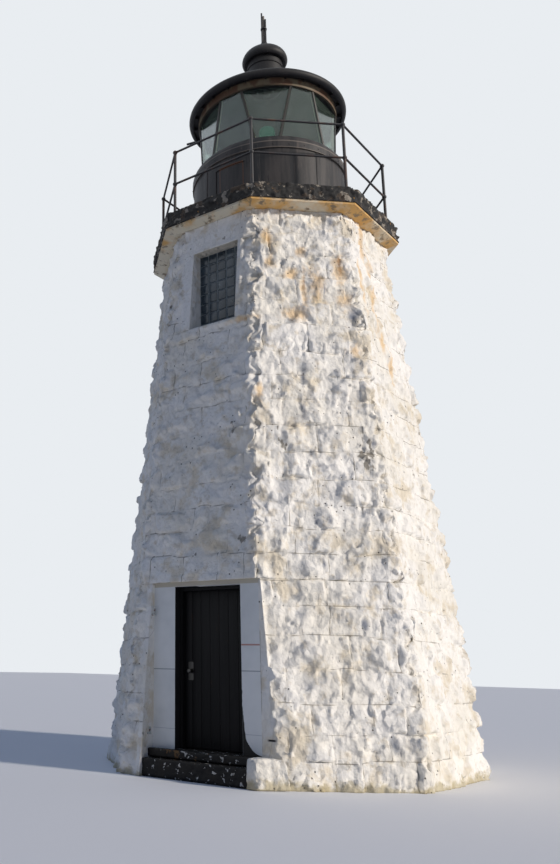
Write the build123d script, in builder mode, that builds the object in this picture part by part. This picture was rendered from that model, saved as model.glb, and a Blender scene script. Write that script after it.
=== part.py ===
from build123d import *

import os
from math import asin, atan, cos, degrees, radians, sin, tan

# Octagonal stone harbour lighthouse with an iron lantern, in millimetres. The origin is on the
# ground at the tower's axis, +Z is up and the door faces -Y. The masonry planes are the
# outermost reach of the rough stone faces.

os.makedirs("parts", exist_ok=True)

# Tower, with widths measured between opposite faces
sides = 8
base_width = 4362
top_width = 3000
wall_height = 6870
wall_thickness = 610
floor_level = 290

# Door recess, cut to an upright plane in the battered front and out through its right corner.
# It is shallowest at its head.
recess_head_depth = 48
recess_left = -590
recess_past_corner = 26
recess_head = 2100
doorway_left = -289
doorway_width = 882
lintel_drop = 50
corner_stone_inset = 37
corner_stone_height = 300

# Steps, each with its reach in front of the recess
upper_step_reach = 110
lower_step_reach = 210
upper_step_rise = 95

# Door leaf and its frame
leaf_recess = 150
leaf_thickness = 60
leaf_clearance = 8
leaf_floor_gap = 10
ledge_height = 160
ledge_depth = 28
frame_depth = 55
frame_width = 40
frame_gap = 5
frame_joint = 1
hinge_pin_radius = 11
hinge_back_gap = 1
hinge_running_gap = 0.3
hinge_end_distance = 250
hinge_pintle_height = 34
hinge_plate_height = 75
hinge_plate_thickness = 6
hinge_plate_length = 420
handle_rise = 830
handle_inset = 110
handle_plate_width = 70
handle_plate_height = 200
handle_plate_thickness = 5
handle_plate_corner = 12
knob_radius = 27
knob_neck_radius = 11
knob_length = 38
knob_reach = 55

# Old pintles on the left side of the recess
low_pintle_rise = 150
high_pintle_drop = 360
pintle_reach = 45
pintle_radius = 11
pintle_pin_height = 70

# Window, closed with glass blocks
window_left = -286
window_width = 686
window_height = 1110
window_head_drop = 410
window_recess = 150
glass_block_depth = 95

# Cornice and gallery deck
cornice_reach = 132
cornice_slope_height = 33
cornice_band_height = 30
deck_reach = 27
deck_thickness = 223

# Gallery railing
rail_setback = 169
top_rail_height = 1017
mid_rail_height = 513
post_radius = 20
rail_radius = 15
fitting_radius = 32
post_foot_radius = 55
post_foot_thickness = 14
rail_end_gap = 0.3

# Lantern drum with its gallery hatch, and the joints between the lantern's castings
drum_radius = 1110
drum_wall = 40
drum_height = 884
castings = 16
casting_joint = 0.3
hatch_angle = -89
hatch_width = 470
hatch_step = 60
hatch_height = 690
hatch_inset = 12
hatch_thickness = 22

# Lantern glazing, tall trapezoid panes that point up and down in turn. The setbacks of the
# sill, the glass and the head ring are from the face of the drum, and the sill's upright band
# stands out past it.
sill_height = 230
sill_band_height = 100
sill_band_reach = 20
sill_setback = 80
glass_setback = 95
glass_height = 840
glass_thickness = 8
pane_pairs = 6
narrow_half_angle = 10
pane_edge_gap = 22
ring_lip = 8
bar_width = 30
bar_depth = 48
bar_proud = 10
head_setback = 75
head_height = 120

# Roof, eave and ventilator
roof_rise = 560
soffit_plate = 32
roof_plate = 35
eave_overhang = 145
eave_bead_radius = 62
collar_bore = 235
collar_width = 65
bracket_count = 24
bracket_setout = 44
bracket_length = 52
bracket_width = 26
bracket_drop = 38
neck_wall = 35
neck_height = 460
neck_hole_count = 12
neck_hole_radius = 22
neck_hole_rise = 130
cap_overhang = 80
cap_skirt = 67
cap_height = 420
cap_tip_radius = 50

# The cap's outline, each as a share of its radius and of its height or skirt
cap_foot = 0.9
cap_roll = (0.98, 0.5)
cap_shoulder = (0.74, 0.5)
cap_throat = (0.26, 0.78)

# Finial
finial_height = 563
spindle_radius = 16
spindle_drop = 47
rod_radius = 13
rod_gap = 3
rod_drops = (120, 60, 0)
clamp_rise = 260
clamp_rim = 4
clamp_thickness = 18

# Lamp and fittings in and on the lantern
lamp_post_radius = 45
lamp_base_radius = 150
lamp_base_height = 30
lamp_rise = 570
lamp_radius = 120
lamp_height = 260
lamp_rounding = 42
ball_radius = 65
ball_rod_radius = 10
ball_rise = 500
overflow_bearing = -168
overflow_radius = 17
overflow_length = 150

# Derived places in the masonry
half_side = 180 / sides
mitre = tan(radians(half_side))
batter = (base_width - top_width) / 2 / wall_height
batter_angle = degrees(atan(batter))
far = base_width
recess_plane = base_width / 2 - batter * recess_head - recess_head_depth
recess_right = recess_plane * mitre + recess_past_corner
corner_stone_left = recess_plane * mitre - corner_stone_inset
doorway_right = doorway_left + doorway_width
doorway_head = recess_head - lintel_drop
window_right = window_left + window_width
window_top = wall_height - window_head_drop
window_sill = window_top - window_height
cornice_height = cornice_slope_height + cornice_band_height
cornice_width = top_width + 2 * cornice_reach
deck_width = cornice_width + 2 * deck_reach
deck_top = wall_height + cornice_height + deck_thickness

# Derived places in the door
leaf_front = -recess_plane + leaf_recess
leaf_back = leaf_front + leaf_thickness
leaf_left = doorway_left + leaf_clearance
leaf_right = doorway_right - leaf_clearance
leaf_bottom = floor_level + leaf_floor_gap
leaf_top = doorway_head - leaf_clearance
hinge_x = doorway_right - frame_gap - hinge_pin_radius
hinge_y = leaf_back + hinge_pin_radius + hinge_back_gap
hinge_levels = (leaf_bottom + hinge_end_distance, leaf_top - hinge_end_distance)

# Derived places in the lantern
sill_bottom = deck_top + drum_height
glass_bottom = sill_bottom + sill_height
glass_top = glass_bottom + glass_height
roof_bottom = glass_top + head_height
roof_top = roof_bottom + roof_rise
cap_bottom = roof_top + neck_height
finial_bottom = cap_bottom + cap_height
wide_half_angle = 180 / pane_pairs - narrow_half_angle
sill_radius = drum_radius - sill_setback
glass_radius = drum_radius - glass_setback
head_radius = drum_radius - head_setback
ring_bore = glass_radius * cos(radians(wide_half_angle)) - ring_lip
eave_radius = head_radius + eave_overhang
collar_radius = collar_bore + collar_width
neck_radius = collar_bore + neck_wall
cap_radius = neck_radius + cap_overhang


def apothem(height):
    """Distance from the axis to the middle of an outer face at a height."""
    return base_width / 2 - batter * height


def polar(radius, angle, height=0.0):
    """A point given by its radius, its bearing in degrees and its height."""
    return (radius * cos(radians(angle)), radius * sin(radians(angle)), height)


def keep(piece, name):
    """Label a finished piece and write it."""
    piece.part.label = name
    export_step(piece.part, f"parts/{name}.step")


def sector(angle):
    """Plan outline of one side of the octagon, from the axis out past the wall."""
    start = polar(2 * far, angle - half_side)
    end = polar(2 * far, angle + half_side)
    return [(0, 0), start[:2], end[:2]]


def rectangle(left, right, near, beyond):
    """Plan outline of an upright block."""
    return [(left, near), (right, near), (right, beyond), (left, beyond)]


# The whole masonry shell, which each wall is a share of
with BuildPart() as shell:
    with BuildSketch():
        RegularPolygon(base_width / 2, sides, major_radius=False, rotation=half_side)
    extrude(amount=wall_height, taper=batter_angle)
    with BuildSketch():
        RegularPolygon(base_width / 2 - wall_thickness, sides, major_radius=False, rotation=half_side)
    extrude(amount=wall_height, taper=batter_angle, mode=Mode.SUBTRACT)


def wall(name, outline, low, high):
    """Write the share of the masonry over one plan outline, between two heights."""
    with BuildPart() as piece:
        add(shell.part)
        with BuildSketch(Plane.XY.offset(low)):
            with BuildLine():
                Polyline(*outline, close=True)
            make_face()
        extrude(amount=high - low, mode=Mode.INTERSECT)
    keep(piece, name)


def block(name, outline, low, high):
    """Write an upright prism over a plan outline."""
    with BuildPart() as piece:
        with BuildSketch(Plane.XY.offset(low)):
            with BuildLine():
                Polyline(*outline, close=True)
            make_face()
        extrude(amount=high - low)
    keep(piece, name)


# Plain walls, one for each side without an opening
plain_walls = {
    "right_wall": 0,
    "back_right_wall": 45,
    "back_wall": 90,
    "back_left_wall": 135,
    "left_wall": 180,
    "front_left_wall": 225,
}
for wall_name, wall_angle in plain_walls.items():
    wall(wall_name, sector(wall_angle), 0, wall_height)

# Front right wall, whole above the door recess and cut back beside it
wall("front_right_wall", sector(-45), recess_head, wall_height)
foot_outline = [
    (recess_right, -recess_plane),
    (recess_plane / mitre, -recess_plane),
    (recess_right, -recess_right * mitre),
]
wall("front_right_foot", foot_outline, 0, recess_head)

# Front wall, round the door recess and the window
pier_outline = [(recess_left, recess_left / mitre), (recess_left, -far), (-far * mitre, -far)]
wall("front_left_pier", pier_outline, 0, recess_head)
recess_back = recess_left / mitre
jamb_left_outline = [
    (recess_left, -recess_plane),
    (doorway_left, -recess_plane),
    (doorway_left, recess_back / 2),
    (recess_left, recess_back),
]
lintel_outline = [
    (recess_left, -recess_plane),
    (recess_right, -recess_plane),
    (recess_right, recess_back / 2),
    (recess_left / 2, recess_back / 2),
    (recess_left, recess_back),
]
wall("door_jamb_left", jamb_left_outline, 0, doorway_head)
wall("door_jamb_right", rectangle(doorway_right, recess_right, -recess_plane, recess_back / 2),
     0, doorway_head)
wall("door_sill", rectangle(doorway_left, doorway_right, -recess_plane, 0), 0, floor_level)
wall("door_lintel", lintel_outline, doorway_head, recess_head)
wall("front_wall", sector(-90), recess_head, window_sill)
window_left_outline = [(window_left, window_left / mitre), (window_left, -far), (-far * mitre, -far)]
wall("window_pier_left", window_left_outline, window_sill, window_top)
window_right_outline = [(window_right, -window_right / mitre), (far * mitre, -far), (window_right, -far)]
wall("window_pier_right", window_right_outline, window_sill, window_top)
wall("window_head", sector(-90), window_top, wall_height)

# Rough corner stone left at the foot, in front of the recess
corner_outline = [
    (corner_stone_left, -recess_plane),
    (corner_stone_left, -far),
    (far, -far),
    (far, -recess_plane),
]
wall("corner_stone", corner_outline, 0, corner_stone_height)

# Ground floor of stone, level with the door sill
with BuildPart() as ground_floor:
    with BuildSketch():
        RegularPolygon(base_width / 2 - wall_thickness, sides, major_radius=False, rotation=half_side)
    extrude(amount=floor_level, taper=batter_angle)
keep(ground_floor, "ground_floor")

# Steps, set into the front between the left pier and the corner stone
step_top = floor_level - upper_step_rise
upper_outline = rectangle(recess_left, corner_stone_left, -recess_plane - upper_step_reach, -recess_plane)
lower_outline = rectangle(recess_left, corner_stone_left, -recess_plane - lower_step_reach, -recess_plane)
block("upper_step", upper_outline, step_top, floor_level)
block("lower_step", lower_outline, 0, step_top)

# Door frame: two posts and a head, in front of the leaf as its stop
frame_back = leaf_front - frame_gap
frame_front = frame_back - frame_depth
with BuildPart() as door_frame:
    for side, edge in ((1, doorway_left), (-1, doorway_right)):
        with BuildSketch(Plane.XY.offset(floor_level)):
            with BuildLine():
                Polyline(*rectangle(edge, edge + side * frame_width, frame_front, frame_back), close=True)
            make_face()
        extrude(amount=doorway_head - floor_level)
    with BuildSketch(Plane.XY.offset(doorway_head - frame_width)):
        with BuildLine():
            head_left = doorway_left + frame_width + frame_joint
            head_right = doorway_right - frame_width - frame_joint
            Polyline(*rectangle(head_left, head_right, frame_front, frame_back), close=True)
        make_face()
    extrude(amount=frame_width)
keep(door_frame, "door_frame")

# Door leaf of upright boards on three ledges, hung to open inwards
board_back = leaf_back - ledge_depth
with BuildPart() as door_leaf:
    with BuildSketch(Plane.XY.offset(leaf_bottom)):
        with BuildLine():
            Polyline(*rectangle(leaf_left, leaf_right, leaf_front, board_back), close=True)
        make_face()
    extrude(amount=leaf_top - leaf_bottom)
    for level in (*hinge_levels, (leaf_bottom + leaf_top) / 2):
        with BuildSketch(Plane.XY.offset(level - ledge_height / 2)):
            with BuildLine():
                Polyline(*rectangle(leaf_left, leaf_right, board_back, leaf_back), close=True)
            make_face()
        extrude(amount=ledge_height)
keep(door_leaf, "door_leaf")

# Strap hinges: a plate on each ledge with a knuckle beside the jamb
plate_left = leaf_right - hinge_plate_length
plate_back = leaf_back + hinge_plate_thickness
with BuildPart() as door_hinges:
    for level in hinge_levels:
        with BuildSketch(Plane.XY.offset(level - hinge_plate_height / 2)):
            with BuildLine():
                Polyline(*rectangle(plate_left, hinge_x, leaf_back, plate_back), close=True)
            make_face()
            with Locations((hinge_x, hinge_y)):
                Circle(hinge_pin_radius)
        extrude(amount=hinge_plate_height)
keep(door_hinges, "door_hinges")

# Hinge pintles: an arm out of the jamb under each knuckle, which turns on it
arm_near = hinge_y - hinge_pin_radius
arm_beyond = hinge_y + hinge_pin_radius
with BuildPart() as hinge_pintles:
    for level in hinge_levels:
        pintle_top = level - hinge_plate_height / 2 - hinge_running_gap
        with BuildSketch(Plane.XY.offset(pintle_top - hinge_pintle_height)):
            with BuildLine():
                Polyline(*rectangle(hinge_x, doorway_right, arm_near, arm_beyond), close=True)
            make_face()
            with Locations((hinge_x, hinge_y)):
                Circle(hinge_pin_radius)
        extrude(amount=hinge_pintle_height)
keep(hinge_pintles, "hinge_pintles")

# Rim lock and knob on the outside of the leaf
handle_x = leaf_left + handle_inset
handle_level = floor_level + handle_rise
plate_front = leaf_front - handle_plate_thickness
with BuildPart() as door_handle:
    with BuildSketch(Plane((handle_x, leaf_front, handle_level), x_dir=(1, 0, 0), z_dir=(0, -1, 0))):
        RectangleRounded(handle_plate_width, handle_plate_height, handle_plate_corner)
    extrude(amount=handle_plate_thickness)
    with BuildSketch(Plane((handle_x, plate_front, handle_level), x_dir=(1, 0, 0), z_dir=(0, 0, 1))):
        with BuildLine():
            knob_back = (knob_neck_radius, knob_length - knob_reach)
            knob_side = (knob_radius, knob_length / 2 - knob_reach)
            knob_front = (knob_neck_radius, -knob_reach)
            Polyline((0, 0), (knob_neck_radius, 0), knob_back)
            ThreePointArc(knob_back, knob_side, knob_front)
            Polyline(knob_front, (0, -knob_reach), (0, 0))
        make_face()
    revolve(axis=Axis((handle_x, plate_front, handle_level), (0, -1, 0)))
keep(door_handle, "door_handle")

# Pintles left in the side of the recess, each an arm with an upright pin
with BuildPart() as recess_pintles:
    for level in (floor_level + low_pintle_rise, recess_head - high_pintle_drop):
        pintle_y = -(recess_plane + apothem(level)) / 2
        arm_start = Plane((recess_left, pintle_y, level), x_dir=(0, 1, 0), z_dir=(1, 0, 0))
        with BuildSketch(arm_start):
            Circle(pintle_radius)
        extrude(amount=pintle_reach)
        with BuildSketch(Plane.XY.offset(level)):
            with Locations((recess_left + pintle_reach - pintle_radius, pintle_y)):
                Circle(pintle_radius)
        extrude(amount=pintle_pin_height)
keep(recess_pintles, "recess_pintles")

# Glass blocks that close the window
block_front = window_recess - apothem(window_top)
block("window_glass_blocks", rectangle(window_left, window_right, block_front, block_front + glass_block_depth),
      window_sill, window_top)

# Cornice with a sloping underside, on the top of the walls
with BuildPart() as cornice:
    with BuildSketch(Plane.XY.offset(wall_height)):
        RegularPolygon(top_width / 2, sides, major_radius=False, rotation=half_side)
    with BuildSketch(Plane.XY.offset(wall_height + cornice_slope_height)):
        RegularPolygon(cornice_width / 2, sides, major_radius=False, rotation=half_side)
    loft(ruled=True)
    with BuildSketch(Plane.XY.offset(wall_height + cornice_slope_height)):
        RegularPolygon(cornice_width / 2, sides, major_radius=False, rotation=half_side)
    extrude(amount=cornice_band_height)
    with BuildSketch(Plane.XY.offset(wall_height)):
        RegularPolygon(top_width / 2 - wall_thickness, sides, major_radius=False, rotation=half_side)
    extrude(amount=cornice_height, mode=Mode.SUBTRACT)
keep(cornice, "cornice")

# Gallery deck, a thick slab that is also the lantern's floor
with BuildPart() as gallery_deck:
    with BuildSketch(Plane.XY.offset(wall_height + cornice_height)):
        RegularPolygon(deck_width / 2, sides, major_radius=False, rotation=half_side)
    extrude(amount=deck_thickness)
keep(gallery_deck, "gallery_deck")

# Railing: a post with ball fittings at each corner, and straight rails between them
post_circle = deck_width / 2 / cos(radians(half_side)) - rail_setback
corner_angles = [half_side + 2 * half_side * count for count in range(sides)]
rail_levels = (deck_top + mid_rail_height, deck_top + top_rail_height)
with BuildPart() as rail_posts:
    for corner_angle in corner_angles:
        foot = polar(post_circle, corner_angle, deck_top)
        with BuildSketch(Plane(foot)):
            Circle(post_foot_radius)
        extrude(amount=post_foot_thickness)
        with BuildSketch(Plane(foot)):
            Circle(post_radius)
        extrude(amount=top_rail_height)
        for level in rail_levels:
            with Locations(polar(post_circle, corner_angle, level)):
                Sphere(fitting_radius)
keep(rail_posts, "rail_posts")

rail_inset = fitting_radius + rail_end_gap
with BuildPart() as gallery_rails:
    for level in rail_levels:
        for corner_angle in corner_angles:
            start = Vector(*polar(post_circle, corner_angle, level))
            end = Vector(*polar(post_circle, corner_angle + 2 * half_side, level))
            along = (end - start).normalized()
            with BuildSketch(Plane(start + along * rail_inset, z_dir=along)):
                Circle(rail_radius)
            extrude(amount=(end - start).length - 2 * rail_inset)
keep(gallery_rails, "gallery_rails")

# Upright joints that part each ring of the lantern into its castings
with BuildPart() as casting_joints:
    with BuildSketch(Plane.XY.offset(deck_top)):
        with PolarLocations(collar_bore / 2, castings):
            Rectangle(eave_radius, casting_joint, align=(Align.MIN, Align.CENTER))
    extrude(amount=roof_top - deck_top)

# Lantern drum, open at the gallery hatch
hatch_half = degrees(asin(hatch_width / 2 / drum_radius))
hatch_low = deck_top + hatch_step
hatch_plane = Plane((0, 0, hatch_low), x_dir=polar(1, hatch_angle), z_dir=(0, 0, 1))
with BuildPart() as hatch_opening:
    with BuildSketch(hatch_plane):
        with BuildLine():
            Polyline((0, 0), polar(2 * drum_radius, -hatch_half)[:2], polar(2 * drum_radius, hatch_half)[:2],
                     close=True)
        make_face()
    extrude(amount=hatch_height)

with BuildPart() as lantern_drum:
    with BuildSketch(Plane.XY.offset(deck_top)):
        Circle(drum_radius)
        Circle(drum_radius - drum_wall, mode=Mode.SUBTRACT)
    extrude(amount=drum_height)
    add(hatch_opening.part, mode=Mode.SUBTRACT)
    add(casting_joints.part, mode=Mode.SUBTRACT)
keep(lantern_drum, "lantern_drum")

hatch_face = drum_radius - hatch_inset
with BuildPart() as gallery_hatch:
    with BuildSketch(Plane.XY.offset(hatch_low)):
        Circle(hatch_face)
        Circle(hatch_face - hatch_thickness, mode=Mode.SUBTRACT)
    extrude(amount=hatch_height)
    add(hatch_opening.part, mode=Mode.INTERSECT)
keep(gallery_hatch, "gallery_hatch")

# Sill ring: an upright band, then a rounded shoulder that draws in to the glass
with BuildPart() as lantern_sill:
    with BuildSketch(Plane.XZ):
        with BuildLine():
            band_low = (drum_radius + sill_band_reach, sill_bottom)
            band_high = (drum_radius + sill_band_reach, sill_bottom + sill_band_height)
            shoulder_top = (sill_radius, glass_bottom)
            Line(band_low, band_high)
            TangentArc(band_high, shoulder_top, tangent=(0, 1))
            Polyline(shoulder_top, (ring_bore, glass_bottom), (ring_bore, glass_bottom - drum_wall),
                     (drum_radius - drum_wall, sill_bottom), band_low)
        make_face()
    revolve(axis=Axis.Z)
    add(casting_joints.part, mode=Mode.SUBTRACT)
keep(lantern_sill, "lantern_sill")


def pane_corner(angle, height, towards):
    """A pane's corner on the glass circle, drawn in from the bar towards a neighbour."""
    corner = Vector(*polar(glass_radius, angle, height))
    other = Vector(*polar(glass_radius, towards, height))
    return corner + (other - corner).normalized() * pane_edge_gap


# The band of height that the glazing fills, level with the sill and the head ring
with BuildPart() as glass_band:
    with BuildSketch(Plane.XY.offset(glass_bottom)):
        Circle(drum_radius)
    extrude(amount=glass_height)

# Glazing bars lean left and right in turn
pane_pitch = 360 / pane_pairs
with BuildPart() as glazing_bars:
    for pair in range(pane_pairs):
        for lean in (-1, 1):
            low_angle = pair * pane_pitch + lean * narrow_half_angle
            high_angle = pair * pane_pitch + lean * wide_half_angle
            bar_low = Vector(*polar(glass_radius, low_angle, glass_bottom))
            bar_high = Vector(*polar(glass_radius, high_angle, glass_top))
            along = (bar_high - bar_low).normalized()
            outward = Vector(*polar(1, (low_angle + high_angle) / 2))
            start = bar_low - along * bar_depth + outward * (bar_proud - bar_depth / 2)
            with BuildSketch(Plane(start, x_dir=outward, z_dir=along)):
                Rectangle(bar_depth, bar_width)
            extrude(amount=(bar_high - bar_low).length + 2 * bar_depth)
    add(glass_band.part, mode=Mode.INTERSECT)
keep(glazing_bars, "glazing_bars")

# Flat panes between the bars, wide at the top and wide at the foot in turn
with BuildPart() as lantern_panes:
    for pair in range(pane_pairs):
        for middle, low_half, high_half in (
            (pair * pane_pitch, narrow_half_angle, wide_half_angle),
            (pair * pane_pitch + pane_pitch / 2, wide_half_angle, narrow_half_angle),
        ):
            low_right = pane_corner(middle - low_half, glass_bottom, middle + low_half)
            low_left = pane_corner(middle + low_half, glass_bottom, middle - low_half)
            high_right = pane_corner(middle - high_half, glass_top, middle + high_half)
            high_left = pane_corner(middle + high_half, glass_top, middle - high_half)
            across = low_left - low_right
            rise = (high_left + high_right) / 2 - (low_left + low_right) / 2
            pane_plane = Plane((low_left + low_right) / 2, x_dir=across, z_dir=across.cross(rise))
            low_x = across.length / 2
            high_x = (high_left - high_right).length / 2
            slope = (high_x - low_x) / rise.length
            spare = glass_thickness
            with BuildSketch(pane_plane):
                with BuildLine():
                    Polyline(
                        (-low_x + slope * spare, -spare),
                        (low_x - slope * spare, -spare),
                        (high_x + slope * spare, rise.length + spare),
                        (-high_x - slope * spare, rise.length + spare),
                        close=True,
                    )
                make_face()
            extrude(amount=glass_thickness / 2, both=True)
    add(glass_band.part, mode=Mode.INTERSECT)
keep(lantern_panes, "lantern_panes")

# Head ring over the glass
with BuildPart() as lantern_head:
    with BuildSketch(Plane.XY.offset(glass_top)):
        Circle(head_radius)
        Circle(ring_bore, mode=Mode.SUBTRACT)
    extrude(amount=head_height)
    add(casting_joints.part, mode=Mode.SUBTRACT)
keep(lantern_head, "lantern_head")

# Flat soffit plate on the head ring
soffit_edge = eave_radius - eave_bead_radius
soffit_top = roof_bottom + soffit_plate
with BuildPart() as lantern_soffit:
    with BuildSketch(Plane.XY.offset(roof_bottom)):
        Circle(soffit_edge)
        Circle(ring_bore, mode=Mode.SUBTRACT)
    extrude(amount=soffit_plate)
    add(casting_joints.part, mode=Mode.SUBTRACT)
keep(lantern_soffit, "lantern_soffit")

# Roof: a low cone of plates on the soffit, with a collar for the ventilator
roof_slope = (roof_top - soffit_top) / (soffit_edge - collar_radius)
inner_foot = soffit_edge - roof_plate / roof_slope
with BuildPart() as lantern_roof:
    with BuildSketch(Plane.XZ):
        with BuildLine():
            Polyline(
                (inner_foot, soffit_top),
                (soffit_edge, soffit_top),
                (collar_radius, roof_top),
                (collar_bore, roof_top),
                (collar_bore, roof_top - roof_plate),
                (collar_radius, roof_top - roof_plate),
                close=True,
            )
        make_face()
    revolve(axis=Axis.Z)
    add(casting_joints.part, mode=Mode.SUBTRACT)
keep(lantern_roof, "lantern_roof")

# Rounded bead round the edge of the soffit
eave_level = roof_bottom + soffit_plate / 2
with BuildPart() as eave_ring:
    with BuildSketch(Plane.XZ):
        with BuildLine():
            eave_low = (soffit_edge, eave_level - eave_bead_radius)
            eave_high = (soffit_edge, eave_level + eave_bead_radius)
            ThreePointArc(eave_low, (eave_radius, eave_level), eave_high)
            Line(eave_high, eave_low)
        make_face()
    revolve(axis=Axis.Z)
    add(casting_joints.part, mode=Mode.SUBTRACT)
keep(eave_ring, "eave_ring")

# Knobs under the soffit, where the roof's ribs are bolted
with BuildPart() as soffit_knobs:
    with BuildSketch(Plane.XY.offset(roof_bottom)):
        with PolarLocations(head_radius + bracket_setout, bracket_count):
            RectangleRounded(bracket_length, bracket_width, bracket_width / 4)
    extrude(amount=-bracket_drop)
keep(soffit_knobs, "soffit_knobs")

# Ventilator neck with its air holes
with BuildPart() as ventilator_neck:
    with BuildSketch(Plane.XY.offset(roof_top)):
        Circle(neck_radius)
        Circle(collar_bore, mode=Mode.SUBTRACT)
    extrude(amount=neck_height)
    with PolarLocations(0, neck_hole_count):
        with Locations(Location((neck_radius, 0, roof_top + neck_hole_rise), (0, 90, 0))):
            Cylinder(neck_hole_radius, 4 * neck_wall, mode=Mode.SUBTRACT)
keep(ventilator_neck, "ventilator_neck")

# Ventilator cap, a mushroom drawn up to a point
with BuildPart() as ventilator_cap:
    with BuildSketch(Plane.XZ):
        with BuildLine():
            foot_edge = (cap_foot * cap_radius, cap_bottom)
            roll_middle = (cap_roll[0] * cap_radius, cap_bottom + cap_roll[1] * cap_skirt)
            cap_edge = (cap_radius, cap_bottom + cap_skirt)
            shoulder = (cap_shoulder[0] * cap_radius, cap_bottom + cap_shoulder[1] * cap_height)
            throat = (cap_throat[0] * cap_radius, cap_bottom + cap_throat[1] * cap_height)
            cap_tip = (cap_tip_radius, finial_bottom)
            Line((0, cap_bottom), foot_edge)
            ThreePointArc(foot_edge, roll_middle, cap_edge)
            Spline(cap_edge, shoulder, throat, cap_tip)
            Polyline(cap_tip, (0, finial_bottom), (0, cap_bottom))
        make_face()
    revolve(axis=Axis.Z)
keep(ventilator_cap, "ventilator_cap")

# Finial: a spindle among rods of unlike heights, clamped together halfway up
rod_circle = spindle_radius + rod_gap + rod_radius
with BuildPart() as finial:
    with BuildSketch(Plane.XY.offset(finial_bottom)):
        Circle(spindle_radius)
    extrude(amount=finial_height - spindle_drop)
    for count, rod_drop in enumerate(rod_drops):
        with BuildSketch(Plane.XY.offset(finial_bottom)):
            with Locations(polar(rod_circle, 360 / len(rod_drops) * count)):
                Circle(rod_radius)
        extrude(amount=finial_height - rod_drop)
    with BuildSketch(Plane.XY.offset(finial_bottom + clamp_rise)):
        Circle(rod_circle + rod_radius + clamp_rim)
    extrude(amount=clamp_thickness)
keep(finial, "finial")

# Lamp on its post, standing on the lantern floor
lamp_bottom = glass_bottom + lamp_rise
with BuildPart() as lamp_post:
    with BuildSketch(Plane.XY.offset(deck_top)):
        Circle(lamp_base_radius)
    extrude(amount=lamp_base_height)
    with BuildSketch(Plane.XY.offset(deck_top)):
        Circle(lamp_post_radius)
    extrude(amount=lamp_bottom - deck_top)
keep(lamp_post, "lamp_post")

with BuildPart() as beacon_lamp:
    with BuildSketch(Plane.XY.offset(lamp_bottom)):
        Circle(lamp_radius)
    extrude(amount=lamp_height)
    fillet(beacon_lamp.edges().group_by(Axis.Z)[-1], lamp_rounding)
keep(beacon_lamp, "beacon_lamp")

# Ball hung on a rod in the throat of the ventilator
ball_level = roof_bottom + ball_rise
with BuildPart() as ventilator_ball:
    with BuildSketch(Plane.XY.offset(ball_level)):
        Circle(ball_rod_radius)
    extrude(amount=cap_bottom - ball_level)
    with Locations((0, 0, ball_level)):
        Sphere(ball_radius)
keep(ventilator_ball, "ventilator_ball")

# Overflow pipe, a short spout out of the eave
overflow_out = Vector(*polar(1, overflow_bearing))
with BuildPart() as overflow_pipe:
    with BuildSketch(Plane(overflow_out * soffit_edge + Vector(0, 0, eave_level), z_dir=overflow_out)):
        Circle(overflow_radius)
    extrude(amount=eave_bead_radius + overflow_length)
    add(eave_ring.part, mode=Mode.SUBTRACT)
keep(overflow_pipe, "overflow_pipe")
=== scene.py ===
# %% [markdown]
# A small octagonal lighthouse: rock-faced granite under thick white paint, with a black iron
# lantern on a railed gallery. The CAD model gives every size and place. Blender adds the
# stones, the castings' detail and the finishes, and leaves the CAD nodes where they are.

# %% Load the frame
from math import cos, pi, radians, sin, sqrt, tan

import bmesh
import bpy
import numpy as np
from mathutils import Matrix, Vector


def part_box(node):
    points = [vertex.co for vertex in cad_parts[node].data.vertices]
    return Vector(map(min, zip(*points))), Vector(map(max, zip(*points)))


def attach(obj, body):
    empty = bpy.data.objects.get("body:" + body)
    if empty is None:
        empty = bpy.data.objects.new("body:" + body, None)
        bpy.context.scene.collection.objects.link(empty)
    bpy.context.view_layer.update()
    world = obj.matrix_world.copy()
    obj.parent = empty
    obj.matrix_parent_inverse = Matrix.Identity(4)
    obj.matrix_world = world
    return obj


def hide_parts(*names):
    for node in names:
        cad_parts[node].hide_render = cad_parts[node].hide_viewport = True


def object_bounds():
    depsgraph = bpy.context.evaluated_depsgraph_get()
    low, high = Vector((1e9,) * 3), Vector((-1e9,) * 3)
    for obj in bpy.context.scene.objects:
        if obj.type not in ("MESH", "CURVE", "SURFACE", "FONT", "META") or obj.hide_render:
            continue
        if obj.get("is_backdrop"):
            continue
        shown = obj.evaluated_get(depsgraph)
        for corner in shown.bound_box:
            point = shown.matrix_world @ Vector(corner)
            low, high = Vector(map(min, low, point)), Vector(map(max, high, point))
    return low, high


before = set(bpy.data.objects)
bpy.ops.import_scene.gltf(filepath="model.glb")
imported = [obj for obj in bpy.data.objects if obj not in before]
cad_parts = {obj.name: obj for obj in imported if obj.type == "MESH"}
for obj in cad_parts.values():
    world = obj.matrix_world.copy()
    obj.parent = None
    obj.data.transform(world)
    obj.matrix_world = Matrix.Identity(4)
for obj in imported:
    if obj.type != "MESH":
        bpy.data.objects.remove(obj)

cad_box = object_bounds()
print("CAD box", [tuple(round(v, 3) for v in corner) for corner in cad_box])

# %% [markdown]
# The camera stands low on the quay, to the right of the door, and looks up. Its place, turn
# and lens come from matching the tower's corners to the picture. The shift keeps the upright
# lean that a picture cut from a wider one has.

# %% The camera
PICTURE_WIDTH, PICTURE_HEIGHT, SENSOR = 560, 864, 36.0
focal_pixels, centre_x, centre_y = 846.9, 111.6, 423.7
camera_bearing, camera_distance, camera_height = radians(-60.276), 11.446, 1.159
yaw, pitch, roll = radians(131.145), radians(15.923), radians(1.387)


def new_object(name, data):
    """An object of this data, in the scene."""
    made = bpy.data.objects.new(name, data)
    bpy.context.scene.collection.objects.link(made)
    return made


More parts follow.
